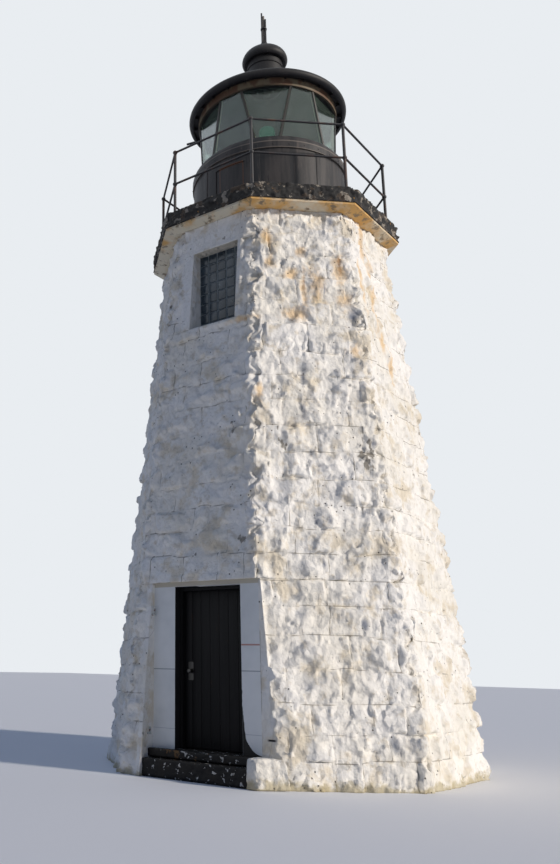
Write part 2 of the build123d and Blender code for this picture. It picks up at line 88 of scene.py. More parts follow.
ahead = Vector((cos(yaw) * cos(pitch), sin(yaw) * cos(pitch), sin(pitch)))
level = Vector((sin(yaw), -cos(yaw), 0.0))
above = level.cross(ahead)
right = level * cos(roll) + above * sin(roll)
above = above * cos(roll) - level * sin(roll)
lens = bpy.data.cameras.new("camera")
lens.sensor_width = SENSOR
lens.lens = focal_pixels * SENSOR / PICTURE_HEIGHT
lens.shift_x = (PICTURE_WIDTH / 2 - centre_x) / PICTURE_HEIGHT
lens.shift_y = (centre_y - PICTURE_HEIGHT / 2) / PICTURE_HEIGHT
lens.clip_end = 300.0
camera = new_object("camera", lens)
camera.matrix_world = Matrix((right, above, -ahead)).transposed().to_4x4()
camera.location = (camera_distance * cos(camera_bearing), camera_distance * sin(camera_bearing),
                   camera_height)
bpy.context.scene.camera = camera
print("lens", round(lens.lens, 2), "mm, shift", round(lens.shift_x, 3))

# %% [markdown]
# Colours are written as they look on screen and turned to linear light once, here. One small
# function adds a node with its settings and links, for shaders and for Geometry Nodes alike,
# and a tree of either kind carries the few steps of maths that all of them need.

# %% Colours and nodes
def linear(hex_colour):
    """An sRGB hex colour as the linear colour that the shaders work in."""
    channels = [int(hex_colour[i:i + 2], 16) / 255 for i in (1, 3, 5)]
    return (*[c / 12.92 if c <= 0.04045 else ((c + 0.055) / 1.055) ** 2.4 for c in channels], 1.0)


def add(tree, kind, inputs=None, **settings):
    """Add a node, set or link its inputs, and return its outputs."""
    node = tree.nodes.new(kind)
    for name, value in settings.items():
        setattr(node, name, value)
    for name, value in (inputs or {}).items():
        if isinstance(value, bpy.types.NodeSocket):
            tree.links.new(value, node.inputs[name])
        else:
            node.inputs[name].default_value = value
    return node.outputs


class Nodes:
    """A node tree with the steps of maths that finishes and rules share."""

    def __init__(self, tree):
        self.tree = tree

    def add(self, kind, inputs=None, **settings):
        return add(self.tree, kind, inputs, **settings)

    def maths(self, operation, a, b=0.0, c=0.0):
        return self.add("ShaderNodeMath", {0: a, 1: b, 2: c}, operation=operation)[0]

    def vector(self, operation, a, b=(0, 0, 0)):
        """A step of vector maths, which gives a number for a length or a dot product."""
        out = self.add("ShaderNodeVectorMath", {0: a, 1: b}, operation=operation)
        return out["Value"] if operation in ("LENGTH", "DOT_PRODUCT") else out[0]

    def scaled(self, a, share):
        return self.add("ShaderNodeVectorMath", {0: a, "Scale": share}, operation="SCALE")[0]

    def band(self, value, low, high):
        """0 below the low value and 1 above the high one, smooth between."""
        return self.add("ShaderNodeMapRange", {"Value": value, "From Min": low, "From Max": high},
                        interpolation_type="SMOOTHSTEP")[0]

    def product(self, first, *others):
        """These multiplied together, which for masks is where all of them are."""
        for other in others:
            first = self.maths("MULTIPLY", first, other)
        return first

    def without(self, mask):
        """1 where the mask is 0."""
        return self.maths("SUBTRACT", 1.0, mask)

    def flat_chips(self, place, scale):
        """Chips that each tilt their own way: the height, and the distance to a chip's middle."""
        cell = self.add("ShaderNodeTexVoronoi", {"Vector": place, "Scale": scale}, feature="F1")
        tilt = self.vector("SUBTRACT", cell["Color"], (0.5, 0.5, 0.5))
        away = self.vector("SUBTRACT", place, cell["Position"])
        return self.vector("DOT_PRODUCT", away, tilt), cell["Distance"]


def plain_finish(name, **values):
    """A new material with one shader, which has these values on its own sockets."""
    finish = bpy.data.materials.new(name)
    finish.use_nodes = True
    shader = finish.node_tree.nodes["Principled BSDF"]
    for socket, value in values.items():
        shader.inputs[socket.replace("_", " ")].default_value = value
    return finish


# %% [markdown]
# The studio is plain: a pale floor, a pale background that only the camera and the
# reflections see, an even light from all round that is stronger from above, a key lamp low on
# the right, as the sun stands in the picture, and a very broad weak one on the left behind.

# %% Studio
bpy.context.scene.view_settings.view_transform = "Standard"
world = bpy.data.worlds.new("studio")
bpy.context.scene.world = world
world.use_nodes = True
world.node_tree.nodes.clear()
sky = Nodes(world.node_tree)
path = sky.add("ShaderNodeLightPath")
seen = sky.maths("MAXIMUM", path["Is Camera Ray"], path["Is Glossy Ray"])
seen = sky.maths("MAXIMUM", seen, path["Is Transmission Ray"])
direction = sky.add("ShaderNodeSeparateXYZ", {0: sky.add("ShaderNodeTexCoord")["Generated"]})[2]
from_above = sky.add("ShaderNodeMapRange", {"Value": direction, "From Min": -0.2, "From Max": 1.0,
                                            "To Min": 0.07, "To Max": 0.24})[0]
even = sky.add("ShaderNodeBackground", {"Color": linear("#A9C6FA"), "Strength": from_above})[0]
shown = sky.add("ShaderNodeBackground", {"Color": linear("#E9EDF1"), "Strength": 1.0})[0]
sky.add("ShaderNodeOutputWorld", {"Surface": sky.add("ShaderNodeMixShader", {0: seen, 1: even, 2: shown})[0]})

# name, strength, width, colour, bearing and height, the last two and the width in degrees
lamps = [("key", 3.05, 4, "#FFF6EC", 9, 19), ("fill", 0.25, 90, "#B9D2FF", -160, 48)]
for name, energy, spread, colour, lamp_bearing, lamp_height in lamps:
    lamp_data = bpy.data.lights.new(name, "SUN")
    lamp_data.energy, lamp_data.angle, lamp_data.color = energy, radians(spread), linear(colour)[:3]
    lamp = new_object(name, lamp_data)
    turn, rise = radians(lamp_bearing), radians(lamp_height)
    towards = Vector((cos(turn) * cos(rise), sin(turn) * cos(rise), sin(rise)))
    lamp.rotation_mode = "QUATERNION"
    lamp.rotation_quaternion = towards.to_track_quat("Z", "Y")

FLOOR_REACH = 80.0
floor_mesh = bpy.data.meshes.new("studio_floor")
floor_corners = ((-1, -1), (1, -1), (1, 1), (-1, 1))
floor_mesh.from_pydata([(FLOOR_REACH * i, FLOOR_REACH * j, 0) for i, j in floor_corners], [], [(0, 1, 2, 3)])
floor_mesh.materials.append(plain_finish("studio_paper", Base_Color=linear("#EEEFF1"), Roughness=0.9))
new_object("studio_floor", floor_mesh)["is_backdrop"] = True

# %% [markdown]
# The masonry. Every wall is a face of one octagon that leans inwards, so the numbers of that
# octagon are read from the CAD nodes. The CAD wall is the stones' outermost reach, so the
# relief goes inwards from it.

# %% Sizes of the masonry
MITRE = tan(radians(22.5))
RELIEF = 0.066
base_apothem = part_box("right_wall")[1].x
wall_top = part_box("right_wall")[1].z
lean = (base_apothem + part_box("window_head")[0].y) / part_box("window_head")[0].z
wall_thickness = 0.61
recess_plane = -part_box("door_jamb_left")[0].y
recess_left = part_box("front_left_pier")[1].x
recess_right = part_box("door_jamb_right")[1].x
recess_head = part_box("front_wall")[0].z
window_low, window_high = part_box("window_glass_blocks")
window_middle = (window_low + window_high) / 2
print("base", round(base_apothem, 3), "m, lean", round(lean, 4), "m a metre")


def apothem(z):
    """How far a wall's outer face is from the tower's axis at a height."""
    return base_apothem - lean * z


# %% [markdown]
# Coursed ashlar: level courses go right round the tower, and each corner has a quoin, one
# stone that turns the corner and reaches far along one side, then the other, from course to
# course. Between the quoins each course is cut into stones of uneven length. Laying them out
# in plain numbers first keeps every joint where a mason would put it.

# %% Courses and joints
COURSES = np.array([0.0, 0.27, 0.54, 0.84, 1.17, 1.50, 1.81, 2.10, 2.40, 2.68, 2.95, 3.24, 3.56,
                    3.90, 4.24, 4.54, 4.84, 5.21, 5.53, 5.88, 6.20, 6.53, 6.87])
STONE_LENGTH, QUOIN_LONG, QUOIN_SHORT, QUOIN_PLAY = 0.52, 0.36, 0.17, 0.05
chance = np.random.default_rng(11)
courses = len(COURSES) - 1
long_ends = (np.arange(courses)[:, None] + np.arange(8)[None, :]) % 2 == 0
# corner f stands between side f and side f + 1: a quoin lies this far along each of them
quoin_before = np.where(long_ends, QUOIN_LONG, QUOIN_SHORT)
quoin_before = quoin_before + chance.uniform(-QUOIN_PLAY, QUOIN_PLAY, (courses, 8))
quoin_after = np.where(long_ends, QUOIN_SHORT, QUOIN_LONG)
quoin_after = quoin_after + chance.uniform(-QUOIN_PLAY, QUOIN_PLAY, (courses, 8))
joints = {}
for course in range(courses):
    half = MITRE * apothem((COURSES[course] + COURSES[course + 1]) / 2)
    for side in range(8):
        first = -half + quoin_after[course, (side - 1) % 8]
        last = half - quoin_before[course, side]
        count = max(1, round((last - first) / STONE_LENGTH + chance.uniform(-0.45, 0.45)))
        cuts = np.linspace(first, last, count + 1)
        cuts[1:-1] += chance.uniform(-0.28, 0.28, count - 1) * (last - first) / count
        joints[course, side] = cuts
print(courses, "courses,", sum(len(cuts) - 1 for cuts in joints.values()) + 8 * courses, "stones")

# %% [markdown]
# A point on a wall has to know its stone: which one it is, how far along and up from that
# stone's middle it lies, and how near the closest joint is. A quoin measures from the corner,
# on both sides of it, so that its rough face runs on round the corner without a step. No joint
# on the tower is dead straight, so the place is first moved a little by slow waves, which are
# the same on both sides of a corner.

# %% Where a point lies in its stone
WANDER = ((1.7, 0.016), (0.8, 0.010), (0.33, 0.006), (0.19, 0.003))  # wave lengths and sizes
CORNER_CALM = 0.3  # nearer to a corner than this, the joints wander less and less along the wall


def wandered(side, s, z):
    """The place moved as the joints wander, by the same amount on both sides of a corner."""
    turn = radians(45 * side)
    x = apothem(z) * cos(turn) - s * sin(turn)
    y = apothem(z) * sin(turn) + s * cos(turn)

    def waves(seed):
        draw, total = np.random.default_rng(seed), 0
        for length, size in WANDER:
            way = draw.normal(size=3)
            way *= 2 * pi / length / np.linalg.norm(way)
            total = total + size * np.sin(way[0] * x + way[1] * y + way[2] * z + draw.uniform(0, 6))
        return total

    to_corner = MITRE * apothem(z) - np.abs(s)
    return s + waves(3) * np.clip(to_corner / CORNER_CALM, 0, 1), z + waves(4)


def in_stone(side, s, z):
    """Stone number, place along and up in the stone, and distance to the nearest joint."""
    half_side = MITRE * apothem(z)
    s, z = wandered(side, s, z)
    course = np.clip(np.searchsorted(COURSES, z, side="right") - 1, 0, courses - 1)
    number, along, edge = np.zeros(len(s)), np.zeros(len(s)), np.zeros(len(s))
    for c in range(courses):
        here = course == c
        if not here.any():
            continue
        cuts, sh, half = joints[c, side], s[here], half_side[here]
        spare = half - MITRE * apothem((COURSES[c] + COURSES[c + 1]) / 2)
        bay = np.searchsorted(cuts, sh, side="right") - 1
        before, after, inner = bay < 0, bay >= len(cuts) - 1, np.clip(bay, 0, len(cuts) - 2)
        stone = np.where(before, (side - 1) % 8, np.where(after, side, 10 + side * 8 + inner))
        number[here] = c * 100 + stone
        from_middle = sh - (cuts[inner] + cuts[inner + 1]) / 2
        along[here] = np.where(before, sh + half, np.where(after, sh - half, from_middle))
        e_before = np.minimum(cuts[0] - sh, quoin_before[c, (side - 1) % 8] + spare + (sh + half))
        e_after = np.minimum(sh - cuts[-1], quoin_after[c, side] + spare + (half - sh))
        e_inner = np.minimum(sh - cuts[inner], cuts[inner + 1] - sh)
        edge[here] = np.where(before, e_before, np.where(after, e_after, e_inner))
    low, high = COURSES[course], COURSES[course + 1]
    rise = np.where(course == 0, 1.0, z - low)
    beside = np.maximum(edge, 0.0005)
    over = np.maximum(np.minimum(rise, np.where(course == courses - 1, 1.0, high - z)), 0.0005)
    rounded = (beside ** -4 + over ** -4) ** -0.25
    return number, along, z - (low + high) / 2, rounded


# %% [markdown]
# Each CAD wall node becomes one closed mesh with a fine grid on its weather side. The grid
# keeps, on every vertex, the direction that leads inwards. At a corner of the octagon that
# direction turns into the mitre, so both walls still meet there, and at a cut through the wall
# it runs along the cut. Round the mitre it also sways from side to side up the tower, because
# the quoins' broken arrises are never in line.

# %% A wall as a closed mesh
GRID, MITRE_REACH = 0.016, 0.2
SWAY = ((0.62, 0.6), (0.34, 0.5), (0.17, 0.35))  # wave lengths and shares of the relief
RECESS_CORNER, SWAY_FADE = 6, 0.25


def sway(corner, z):
    """How far the relief at this corner leans out of its mitre, so that the arris is ragged."""
    draw = np.random.default_rng(40 + corner)
    total = sum(size * np.sin(2 * pi * z / length + draw.uniform(0, 6)) for length, size in SWAY)
    return total * (np.clip((z - recess_head) / SWAY_FADE, 0, 1) if corner == RECESS_CORNER else 1)


def store(mesh, label, values, vector=False):
    """Keep these numbers or vectors on the mesh's vertices."""
    kept = mesh.attributes.new(label, "FLOAT_VECTOR" if vector else "FLOAT", "POINT")
    kept.data.foreach_set("vector" if vector else "value", np.asarray(values, dtype=float).ravel())


def shade(mesh, flat_from):
    """Smooth faces on the rough side, and flat ones from this face on."""
    mesh.shade_smooth()
    for polygon in mesh.polygons[flat_from:]:
        polygon.use_smooth = False


def wall_panel(name, side, bottom, top, left, right, dressed, deepest):
    """A wall of the tower on side 0 to 7 between two heights and two edges, still flat."""
    turn = radians(45 * side)
    out, run = np.array([cos(turn), sin(turn)]), np.array([-sin(turn), cos(turn)])
    rows = max(2, round((top - bottom) / GRID))
    z = np.linspace(bottom, top, rows + 1)
    ends = [edge(z) if callable(edge) else np.full(len(z), edge) if edge is not None
            else sign * MITRE * apothem(z) for edge, sign in ((left, -1), (right, 1))]
    columns = max(2, round((ends[1] - ends[0]).mean() / GRID))
    share = np.linspace(0, 1, columns + 1)[None, :]
    s = ends[0][:, None] * (1 - share) + ends[1][:, None] * share
    zz = np.repeat(z[:, None], columns + 1, axis=1)
    reach = apothem(zz)
    points = np.dstack([reach * out[0] + s * run[0], reach * out[1] + s * run[1], zz]).reshape(-1, 3)

    lean_in, swayed, corner = np.zeros_like(s), np.zeros((*s.shape, 3)), np.full(s.shape, 1.0)
    for edge, sign, distance in ((left, -1, s - ends[0][:, None]), (right, 1, ends[1][:, None] - s)):
        near = np.clip(1 - distance / MITRE_REACH, 0, 1)
        if edge is None:
            lean_in += sign * MITRE * near
            bearing, amount = turn + sign * radians(22.5), near * sway((side - (sign < 0)) % 8, zz)
            swayed += np.dstack([-sin(bearing) * amount, cos(bearing) * amount, 0 * s])
        elif callable(edge):
            lean_in += near
        if edge is None or callable(edge):
            corner = np.minimum(corner, distance)
    inward = np.dstack([-(out[0] + lean_in * run[0]), -(out[1] + lean_in * run[1]), 0 * s]) + swayed

    def inner_line(height):
        inner = apothem(height) - wall_thickness
        line = [out * inner + run * (right if right is not None else MITRE * inner)]
        if callable(left):
            line += [np.array([recess_right, recess_right - inner * sqrt(2)]),
                     np.array([recess_right, -recess_plane])]
        else:
            line += [out * inner + run * (left if left is not None else -MITRE * inner)]
        return [(*p, height) for p in line]

    low, high = inner_line(bottom), inner_line(top)
    base, count = len(points), len(low)
    index = np.arange(base).reshape(rows + 1, columns + 1)
    grid = np.stack([index[:-1, :-1], index[:-1, 1:], index[1:, 1:], index[1:, :-1]], axis=-1).reshape(-1, 4)
    lows, highs = [base + i for i in range(count)], [base + count + i for i in range(count)]
    faces = grid.tolist()
    faces += [(lows[i], highs[i], highs[i + 1], lows[i + 1]) for i in range(count - 1)]
    faces += [index[0, ::-1].tolist() + lows[::-1], index[-1].tolist() + highs]
    faces += [[lows[0], highs[0]] + index[::-1, -1].tolist(), index[:, 0].tolist() + [highs[-1], lows[-1]]]

    mesh = bpy.data.meshes.new(name)
    mesh.from_pydata(np.vstack([points, low, high]).tolist(), [], faces)
    number, along, up, edge = in_stone(side, s.ravel(), zz.ravel())
    values = {"stone": number, "along": along, "up": up, "joint": edge, "dressed": dressed(s, zz).ravel(),
              "deepest": deepest(s, zz, ends).ravel(), "corner": corner.ravel()}
    for label, value in values.items():
        store(mesh, label, np.concatenate([value, np.zeros(2 * count)]))
    store(mesh, "inward", np.vstack([inward.reshape(-1, 3), np.zeros((2 * count, 3))]), vector=True)
    shade(mesh, len(grid))
    return mesh


# %% [markdown]
# Around the door recess and the window the masons dressed the stone flat. Those margins are a
# share from 0, rough, to 1, dressed. Over the recess and down its right edge the relief also
# has to stay shallow, or it would cut behind the recess.

# %% Dressed margins
FAR, FULL_DEPTH = 9, 0.12


def rough(s, z):
    return 0 * s


def fade(distance, full, none):
    """1 up to the full distance, 0 past the other, and even between."""
    return np.clip((none - distance) / (none - full), 0, 1)


def front_margins(s, z):
    """Flat margins round the window and over and beside the recess, on the door's side."""
    beside = np.maximum(np.maximum(window_low.x - s, s - window_high.x), 0)
    above_window = np.maximum(np.maximum(window_low.z - z, z - window_high.z), 0)
    over_recess = np.where(z >= recess_head, z - recess_head, FAR)
    left_margin = fade(np.where(s < window_low.x, beside, FAR), 0.12, 0.16)
    right_margin = fade(np.where(s > window_high.x, beside, FAR), 0.05, 0.09)
    window = np.maximum(left_margin, right_margin) * (above_window <= 0)
    window = np.maximum(window, fade(np.hypot(beside, above_window), 0.04, 0.07))
    head = np.where(z > window_high.z, fade(np.abs(s - window_middle.x), 0.42, 0.52), 0)
    over = fade(over_recess, 0.06, 0.12) * (s > recess_left - 0.06)
    over = np.maximum(over, 0.55 * fade(over_recess, 0.28, 0.34))
    side_edge = fade(np.where(z < recess_head, recess_left - s, FAR), 0.05, 0.09) * (s <= recess_left)
    return np.clip(np.maximum.reduce([window, 0.9 * head, over, side_edge]), 0, 1)


def foot_left(z):
    """Where the side right of the door meets the recess's plane, below the recess's head."""
    return apothem(z) - recess_plane * sqrt(2)


def full_depth(s, z, ends):
    return np.full(s.shape, FULL_DEPTH)


def shallow_over_recess(s, z, ends):
    return np.minimum(0.040, 0.014 + 0.3 * np.maximum(ends[1][:, None] - s, 0)) + 0.9 * (z - recess_head)


def shallow_by_recess(s, z, ends):
    """On the side right of the door: shallow where the recess's flat right face is narrow."""
    strip = np.maximum(apothem(z) * sqrt(2) - recess_plane - recess_right, 0.035)
    edge = np.maximum(foot_left(z), ends[0][:, None])
    return 0.45 * strip / sqrt(2) + 0.5 * np.maximum(s - edge, 0) + 0.9 * np.maximum(z - recess_head, 0)


# %% [markdown]
# What repeats or follows a rule is left to Geometry Nodes. A rule is a tree with named inputs
# that ends by realizing its instances and setting the material. A piece is baked to a plain
# mesh after its rule, so nothing is left to evaluate later.

# %% Rules
class Rule(Nodes):
    """A Geometry Nodes tree with named inputs: a number is its own start value."""

    def __init__(self, name, **inputs):
        super().__init__(bpy.data.node_groups.new(name, "GeometryNodeTree"))
        sockets = self.tree.interface
        sockets.new_socket("Geometry", in_out="INPUT", socket_type="NodeSocketGeometry")
        for label, kind in {**inputs, "finish": "Material"}.items():
            socket_type = "NodeSocket" + (kind if isinstance(kind, str) else "Float")
            made = sockets.new_socket(label.replace("_", " ").capitalize(), in_out="INPUT",
                                      socket_type=socket_type)
            if not isinstance(kind, str):
                made.default_value = kind
        sockets.new_socket("Geometry", in_out="OUTPUT", socket_type="NodeSocketGeometry")
        self.given = self.add("NodeGroupInput")

    def moved(self, geometry, **inputs):
        return self.add("GeometryNodeTransform", {"Geometry": geometry, **inputs})[0]

    def along_z(self, value):
        return self.add("ShaderNodeCombineXYZ", {2: value})[0]

    def end(self, geometry):
        """Realize the instances, set the material and hand the geometry out."""
        geometry = self.add("GeometryNodeRealizeInstances", {"Geometry": geometry})[0]
        finish = {"Geometry": geometry, "Material": self.given["Finish"]}
        self.add("NodeGroupOutput", {"Geometry": self.add("GeometryNodeSetMaterial", finish)[0]})
        return self.tree


def as_built(made):
    """An object's mesh after its modifiers."""
    return bpy.data.meshes.new_from_object(made.evaluated_get(bpy.context.evaluated_depsgraph_get()))


def baked(name, tree, mesh=None, body="tower", **settings):
    """An object of this mesh after its rule, as a plain mesh that rides on its body."""
    ruled = new_object(name + "_rule", mesh or bpy.data.meshes.new(name + "_start"))
    modifier = ruled.modifiers.new("rule", "NODES")
    modifier.node_group = tree
    for item in tree.interface.items_tree:
        label = item.name.lower().replace(" ", "_")
        if item.item_type == "SOCKET" and item.in_out == "INPUT" and label in settings:
            modifier[item.identifier] = settings[label]
    shaped = as_built(ruled)
    bpy.data.objects.remove(ruled)
    made = new_object(name, shaped)
    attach(made, body)
    return made


def replace_node(made, node):
    """The finished piece takes its CAD node's place: the node is hidden."""
    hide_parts(node)
    print(made.name, "takes the place of", node, "with", len(made.data.polygons), "faces")


# %% [markdown]
# The rough face itself. Quarrymen split granite and pitch its edges back to the joint: the
# face is a few tilted planes, struck off in flat chips, above a sloping margin. The rule takes
# the lowest of those heights, takes off chips and adds grain, breaks the arrises of the
# corners, and moves each point inwards by what is missing to the stone's outermost reach.

# %% Rule for a rock face
PLANES = 6
CHIPS = ((2.1, 1.0), (0.95, 0.35))  # sizes and depths, as shares of the scoop's own


def rock_rule(name):
    """A rule that gives a flat gridded wall its rock face."""
    rule = Rule(name, relief=RELIEF, mortar=0.005, margin_slope=2.8, tilt=0.46, scoop_depth=0.034,
                scoop_size=0.085, grain_depth=0.007, grain_size=0.035, dressed_depth=0.012, seed="Int")
    given, maths = rule.given, rule.maths
    place = rule.add("GeometryNodeInputPosition")[0]

    def kept(label, kind="FLOAT"):
        return rule.add("GeometryNodeInputNamedAttribute", {"Name": label}, data_type=kind)["Attribute"]

    def by_stone(low, high, step):
        seed = maths("ADD", given["Seed"], step)
        return rule.add("FunctionNodeRandomValue", {2: low, 3: high, "ID": stone, "Seed": seed},
                        data_type="FLOAT")[1]

    def noise(size, detail, step):
        moved = rule.vector("ADD", place, (step * 3.1, step * 1.7, step * 2.3))
        return rule.add("ShaderNodeTexNoise", {"Vector": moved, "Scale": maths("DIVIDE", 1.0, size),
                                               "Detail": detail, "Roughness": 0.55})[0]

    stone, along, up, joint, dressed = [kept(label) for label in ("stone", "along", "up", "joint", "dressed")]
    facets = None
    for k in range(PLANES):
        reach = maths("MULTIPLY", given["Relief"], by_stone(0.85, 1.5, 30 + k))
        slope_along = maths("MULTIPLY", given["Tilt"], by_stone(-1, 1, 50 + k))
        slope_up = maths("MULTIPLY", given["Tilt"], by_stone(-1.3, 1.3, 70 + k))
        plane = maths("MULTIPLY_ADD", along, slope_along, maths("MULTIPLY_ADD", up, slope_up, reach))
        facets = plane if facets is None else maths("MINIMUM", facets, plane)
    facets = maths("MAXIMUM", facets, maths("MULTIPLY", given["Relief"], 0.30))
    wander = maths("MULTIPLY_ADD", noise(given["Scoop size"], 3.0, 1), 0.05, -0.025)
    from_joint = maths("SUBTRACT", maths("ADD", joint, wander), given["Mortar"])
    margin = maths("MAXIMUM", maths("MULTIPLY", from_joint, given["Margin slope"]), 0.0)
    height = maths("SMOOTH_MIN", margin, facets, 0.006)
    filled = rule.add("ShaderNodeMapRange", {"Value": noise(0.22, 2.0, 5), "From Min": 0.38, "From Max": 0.6,
                                             "To Min": 0.05, "To Max": 0.42})[0]
    height = maths("MAXIMUM", height, maths("MULTIPLY", given["Relief"], filled))
    broken = maths("MAXIMUM", maths("MULTIPLY_ADD", noise(0.11, 3.0, 6), 0.22, -0.085), 0.0)
    arris = rule.without(rule.band(kept("corner"), 0.0, 0.11))
    height = maths("SUBTRACT", height, maths("MULTIPLY", arris, broken))

    bend = rule.add("ShaderNodeTexNoise", {"Vector": place, "Scale": 6.0})[1]
    bent = rule.vector("ADD", place, rule.scaled(bend, 0.07))
    turned = rule.add("ShaderNodeVectorRotate", {"Vector": bent, "Rotation": (0.5, 0.4, 0.6)},
                      rotation_type="EULER_XYZ")[0]
    stroke = rule.vector("MULTIPLY", turned, (1.0, 1.0, 0.5))
    scoop = 0.0
    for share, depth_share in CHIPS:
        scale = maths("DIVIDE", 1.0, maths("MULTIPLY", given["Scoop size"], share))
        flat, distance = rule.flat_chips(stroke, scale)
        hollow = maths("SUBTRACT", 0.30, maths("MULTIPLY", distance, distance))
        hollow = maths("MULTIPLY_ADD", maths("MULTIPLY", flat, scale), 1.5, hollow)
        scoop = maths("MULTIPLY_ADD", hollow, depth_share, scoop)
    scoop = rule.product(scoop, given["Scoop depth"], noise(0.3, 2.0, 3), 1.8)
    grain = maths("SUBTRACT", noise(given["Grain size"], 3.0, 2), 0.5)
    grain = maths("MULTIPLY", grain, given["Grain depth"])
    proud = rule.band(height, 0.0, maths("MULTIPLY", given["Relief"], 0.5))
    worked = maths("MULTIPLY", maths("SUBTRACT", maths("MULTIPLY", grain, 2.0), scoop), proud)
    worked = maths("MULTIPLY_ADD", grain, 0.35, maths("ADD", height, worked))
    rough_depth = maths("MULTIPLY", maths("SUBTRACT", given["Relief"], worked), rule.without(dressed))
    flat_depth = maths("MULTIPLY_ADD", grain, 0.5, given["Dressed depth"])
    depth = maths("MULTIPLY_ADD", flat_depth, dressed, rough_depth)
    depth = maths("MAXIMUM", maths("MINIMUM", depth, kept("deepest")), 0.001)
    shift = rule.scaled(kept("inward", "FLOAT_VECTOR"), depth)
    shaped = rule.add("GeometryNodeSetPosition", {"Geometry": given["Geometry"], "Offset": shift})[0]
    kept_depth = {"Geometry": shaped, "Name": "depth", "Value": depth}
    shaped = rule.add("GeometryNodeStoreNamedAttribute", kept_depth, data_type="FLOAT", domain="POINT")[0]
    return rule.end(shaped)


# %% [markdown]
# A finish is laid up as paint and dirt are: one colour over the last wherever its mask says.
# Every pattern reads the place on the piece in metres, so its scale is a real size.

# %% Finishes
def finish_nodes(material, *names):
    """Give these CAD nodes one finish."""
    for name in names:
        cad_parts[name].data.materials.clear()
        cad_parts[name].data.materials.append(material)


class Finish(Nodes):
    """A material under way, with the colour that the next layer goes over."""

    def __init__(self, name, colour, **values):
        self.material = plain_finish(name, **values)
        super().__init__(self.material.node_tree)
        self.shader, self.colour = self.tree.nodes["Principled BSDF"], colour
        self.place = self.add("ShaderNodeTexCoord")["Object"]
        self.x, self.y, self.z = self.add("ShaderNodeSeparateXYZ", {0: self.place})[:3]

    def noise(self, millimetres, detail=4.0, stretch=(1, 1, 1), shift=(0, 0, 0)):
        """Noise whose blotches are about this many millimetres across."""
        moved = self.add("ShaderNodeMapping", {"Vector": self.place, "Scale": stretch, "Location": shift})[0]
        return self.add("ShaderNodeTexNoise", {"Vector": moved, "Scale": 500 / millimetres, "Detail": detail,
                                               "Roughness": 0.6})[0]

    def patches(self, millimetres, low, high, detail=4.0, stretch=(1, 1, 1), shift=(0, 0, 0)):
        """1 where that noise is above the band, and 0 below it."""
        return self.band(self.noise(millimetres, detail, stretch, shift), low, high)

    def line_at(self, value, centre, half):
        """1 within half of the centre and 0 outside it."""
        away = self.maths("ABSOLUTE", self.maths("SUBTRACT", value, centre))
        return self.without(self.band(away, half * 0.6, half * 1.4))

    def radius(self):
        """The distance from the tower's axis."""
        squares = [self.maths("MULTIPLY", way, way) for way in (self.x, self.y)]
        return self.maths("SQRT", self.maths("ADD", *squares))

    def bearing(self):
        return self.maths("DEGREES", self.maths("ARCTAN2", self.y, self.x))

    def mix(self, share, first, second):
        """The second colour over the first where the share is 1."""
        first, second = [linear(c) if isinstance(c, str) else c for c in (first, second)]
        return self.add("ShaderNodeMix", {0: share, 6: first, 7: second}, data_type="RGBA")[2]

    def lay(self, mask, colour, strength=1.0):
        """Lay this colour over the last one where the mask is 1, at this strength."""
        self.colour = self.mix(self.maths("MULTIPLY", mask, strength), self.colour, colour)

    def end(self, *nodes, relief=None, millimetres=0.0):
        """Link the colour and a fine relief for the light only, and finish these CAD nodes."""
        self.tree.links.new(self.colour, self.shader.inputs["Base Color"])
        if relief:
            bump = {"Height": relief, "Distance": millimetres / 1000, "Strength": 1.0}
            self.tree.links.new(self.add("ShaderNodeBump", bump)[0], self.shader.inputs["Normal"])
        finish_nodes(self.material, *nodes)
        return self.material


# %% [markdown]
# Thick white lime paint over granite: matt, creamy, laid on year after year, so it rounds the
# fine grain. Where it has come off, the grey stone shows, and iron in the stone bleeds ochre.
# The larger stains, and the bluish spots of painted shadow where deep hollows would be in shade,
# stand where the real tower has them. Each is a bearing round the tower in degrees, a height in
# metres, and its half width and half height.

# %% Painted granite
OCHRE = [(-52, 5.92, 6, 0.10), (-46, 5.70, 2.4, 0.30), (-40, 5.76, 5, 0.28), (-29, 6.0, 4, 0.28),
         (-28, 5.6, 4, 0.2), (-46, 6.25, 4, 0.1), (-61, 6.1, 4, 0.16), (-62, 6.45, 3, 0.14),
         (-50, 5.35, 8, 0.12), (-27, 4.9, 3, 0.12), (-10, 6.6, 2.4, 0.4), (-5, 6.1, 2.4, 0.45),
         (-7, 5.6, 3, 0.4), (-3, 5.2, 3, 0.35), (1, 4.9, 3, 0.3), (-16, 5.9, 2, 0.4),
         (-66, 4.3, 2, 0.15), (-72, 5.3, 8, 0.05)]
# bluish grey spots of painted shadow, for deep hollows that would be in shade
SHADOW_SPOTS = [(-48.9, 4.52, 1.6, 0.11), (-49.4, 4.07, 1.4, 0.12), (-36.9, 5.69, 0.8, 0.12), (-25.7, 5.36, 2.4, 0.1),
        (-35.6, 4.58, 2.2, 0.09), (-25, 3.7, 2.2, 0.08), (-34.7, 1.64, 1.6, 0.1), (-18.3, 1.66, 1.4, 0.1),
        (-46.1, 2.28, 1.0, 0.09), (-43.3, 2.77, 1.4, 0.09), (-47.8, 2.74, 1.0, 0.07), (-30, 0.45, 2.2, 0.1),
        (-30, 6.72, 2.2, 0.12), (-49.5, 5.8, 1.0, 0.1), (128, 4.1, 1.6, 0.1), (96, 2.3, 1.4, 0.09)]
RUST = [(-158, 4.88, 2.5, 0.12), (-164, 3.84, 2.2, 0.1), (-28.5, 6.08, 0.9, 0.16), (-45.6, 5.78, 0.7, 0.2),
        (62, 5.6, 1.8, 0.2), (168, 5.1, 2.0, 0.2)]


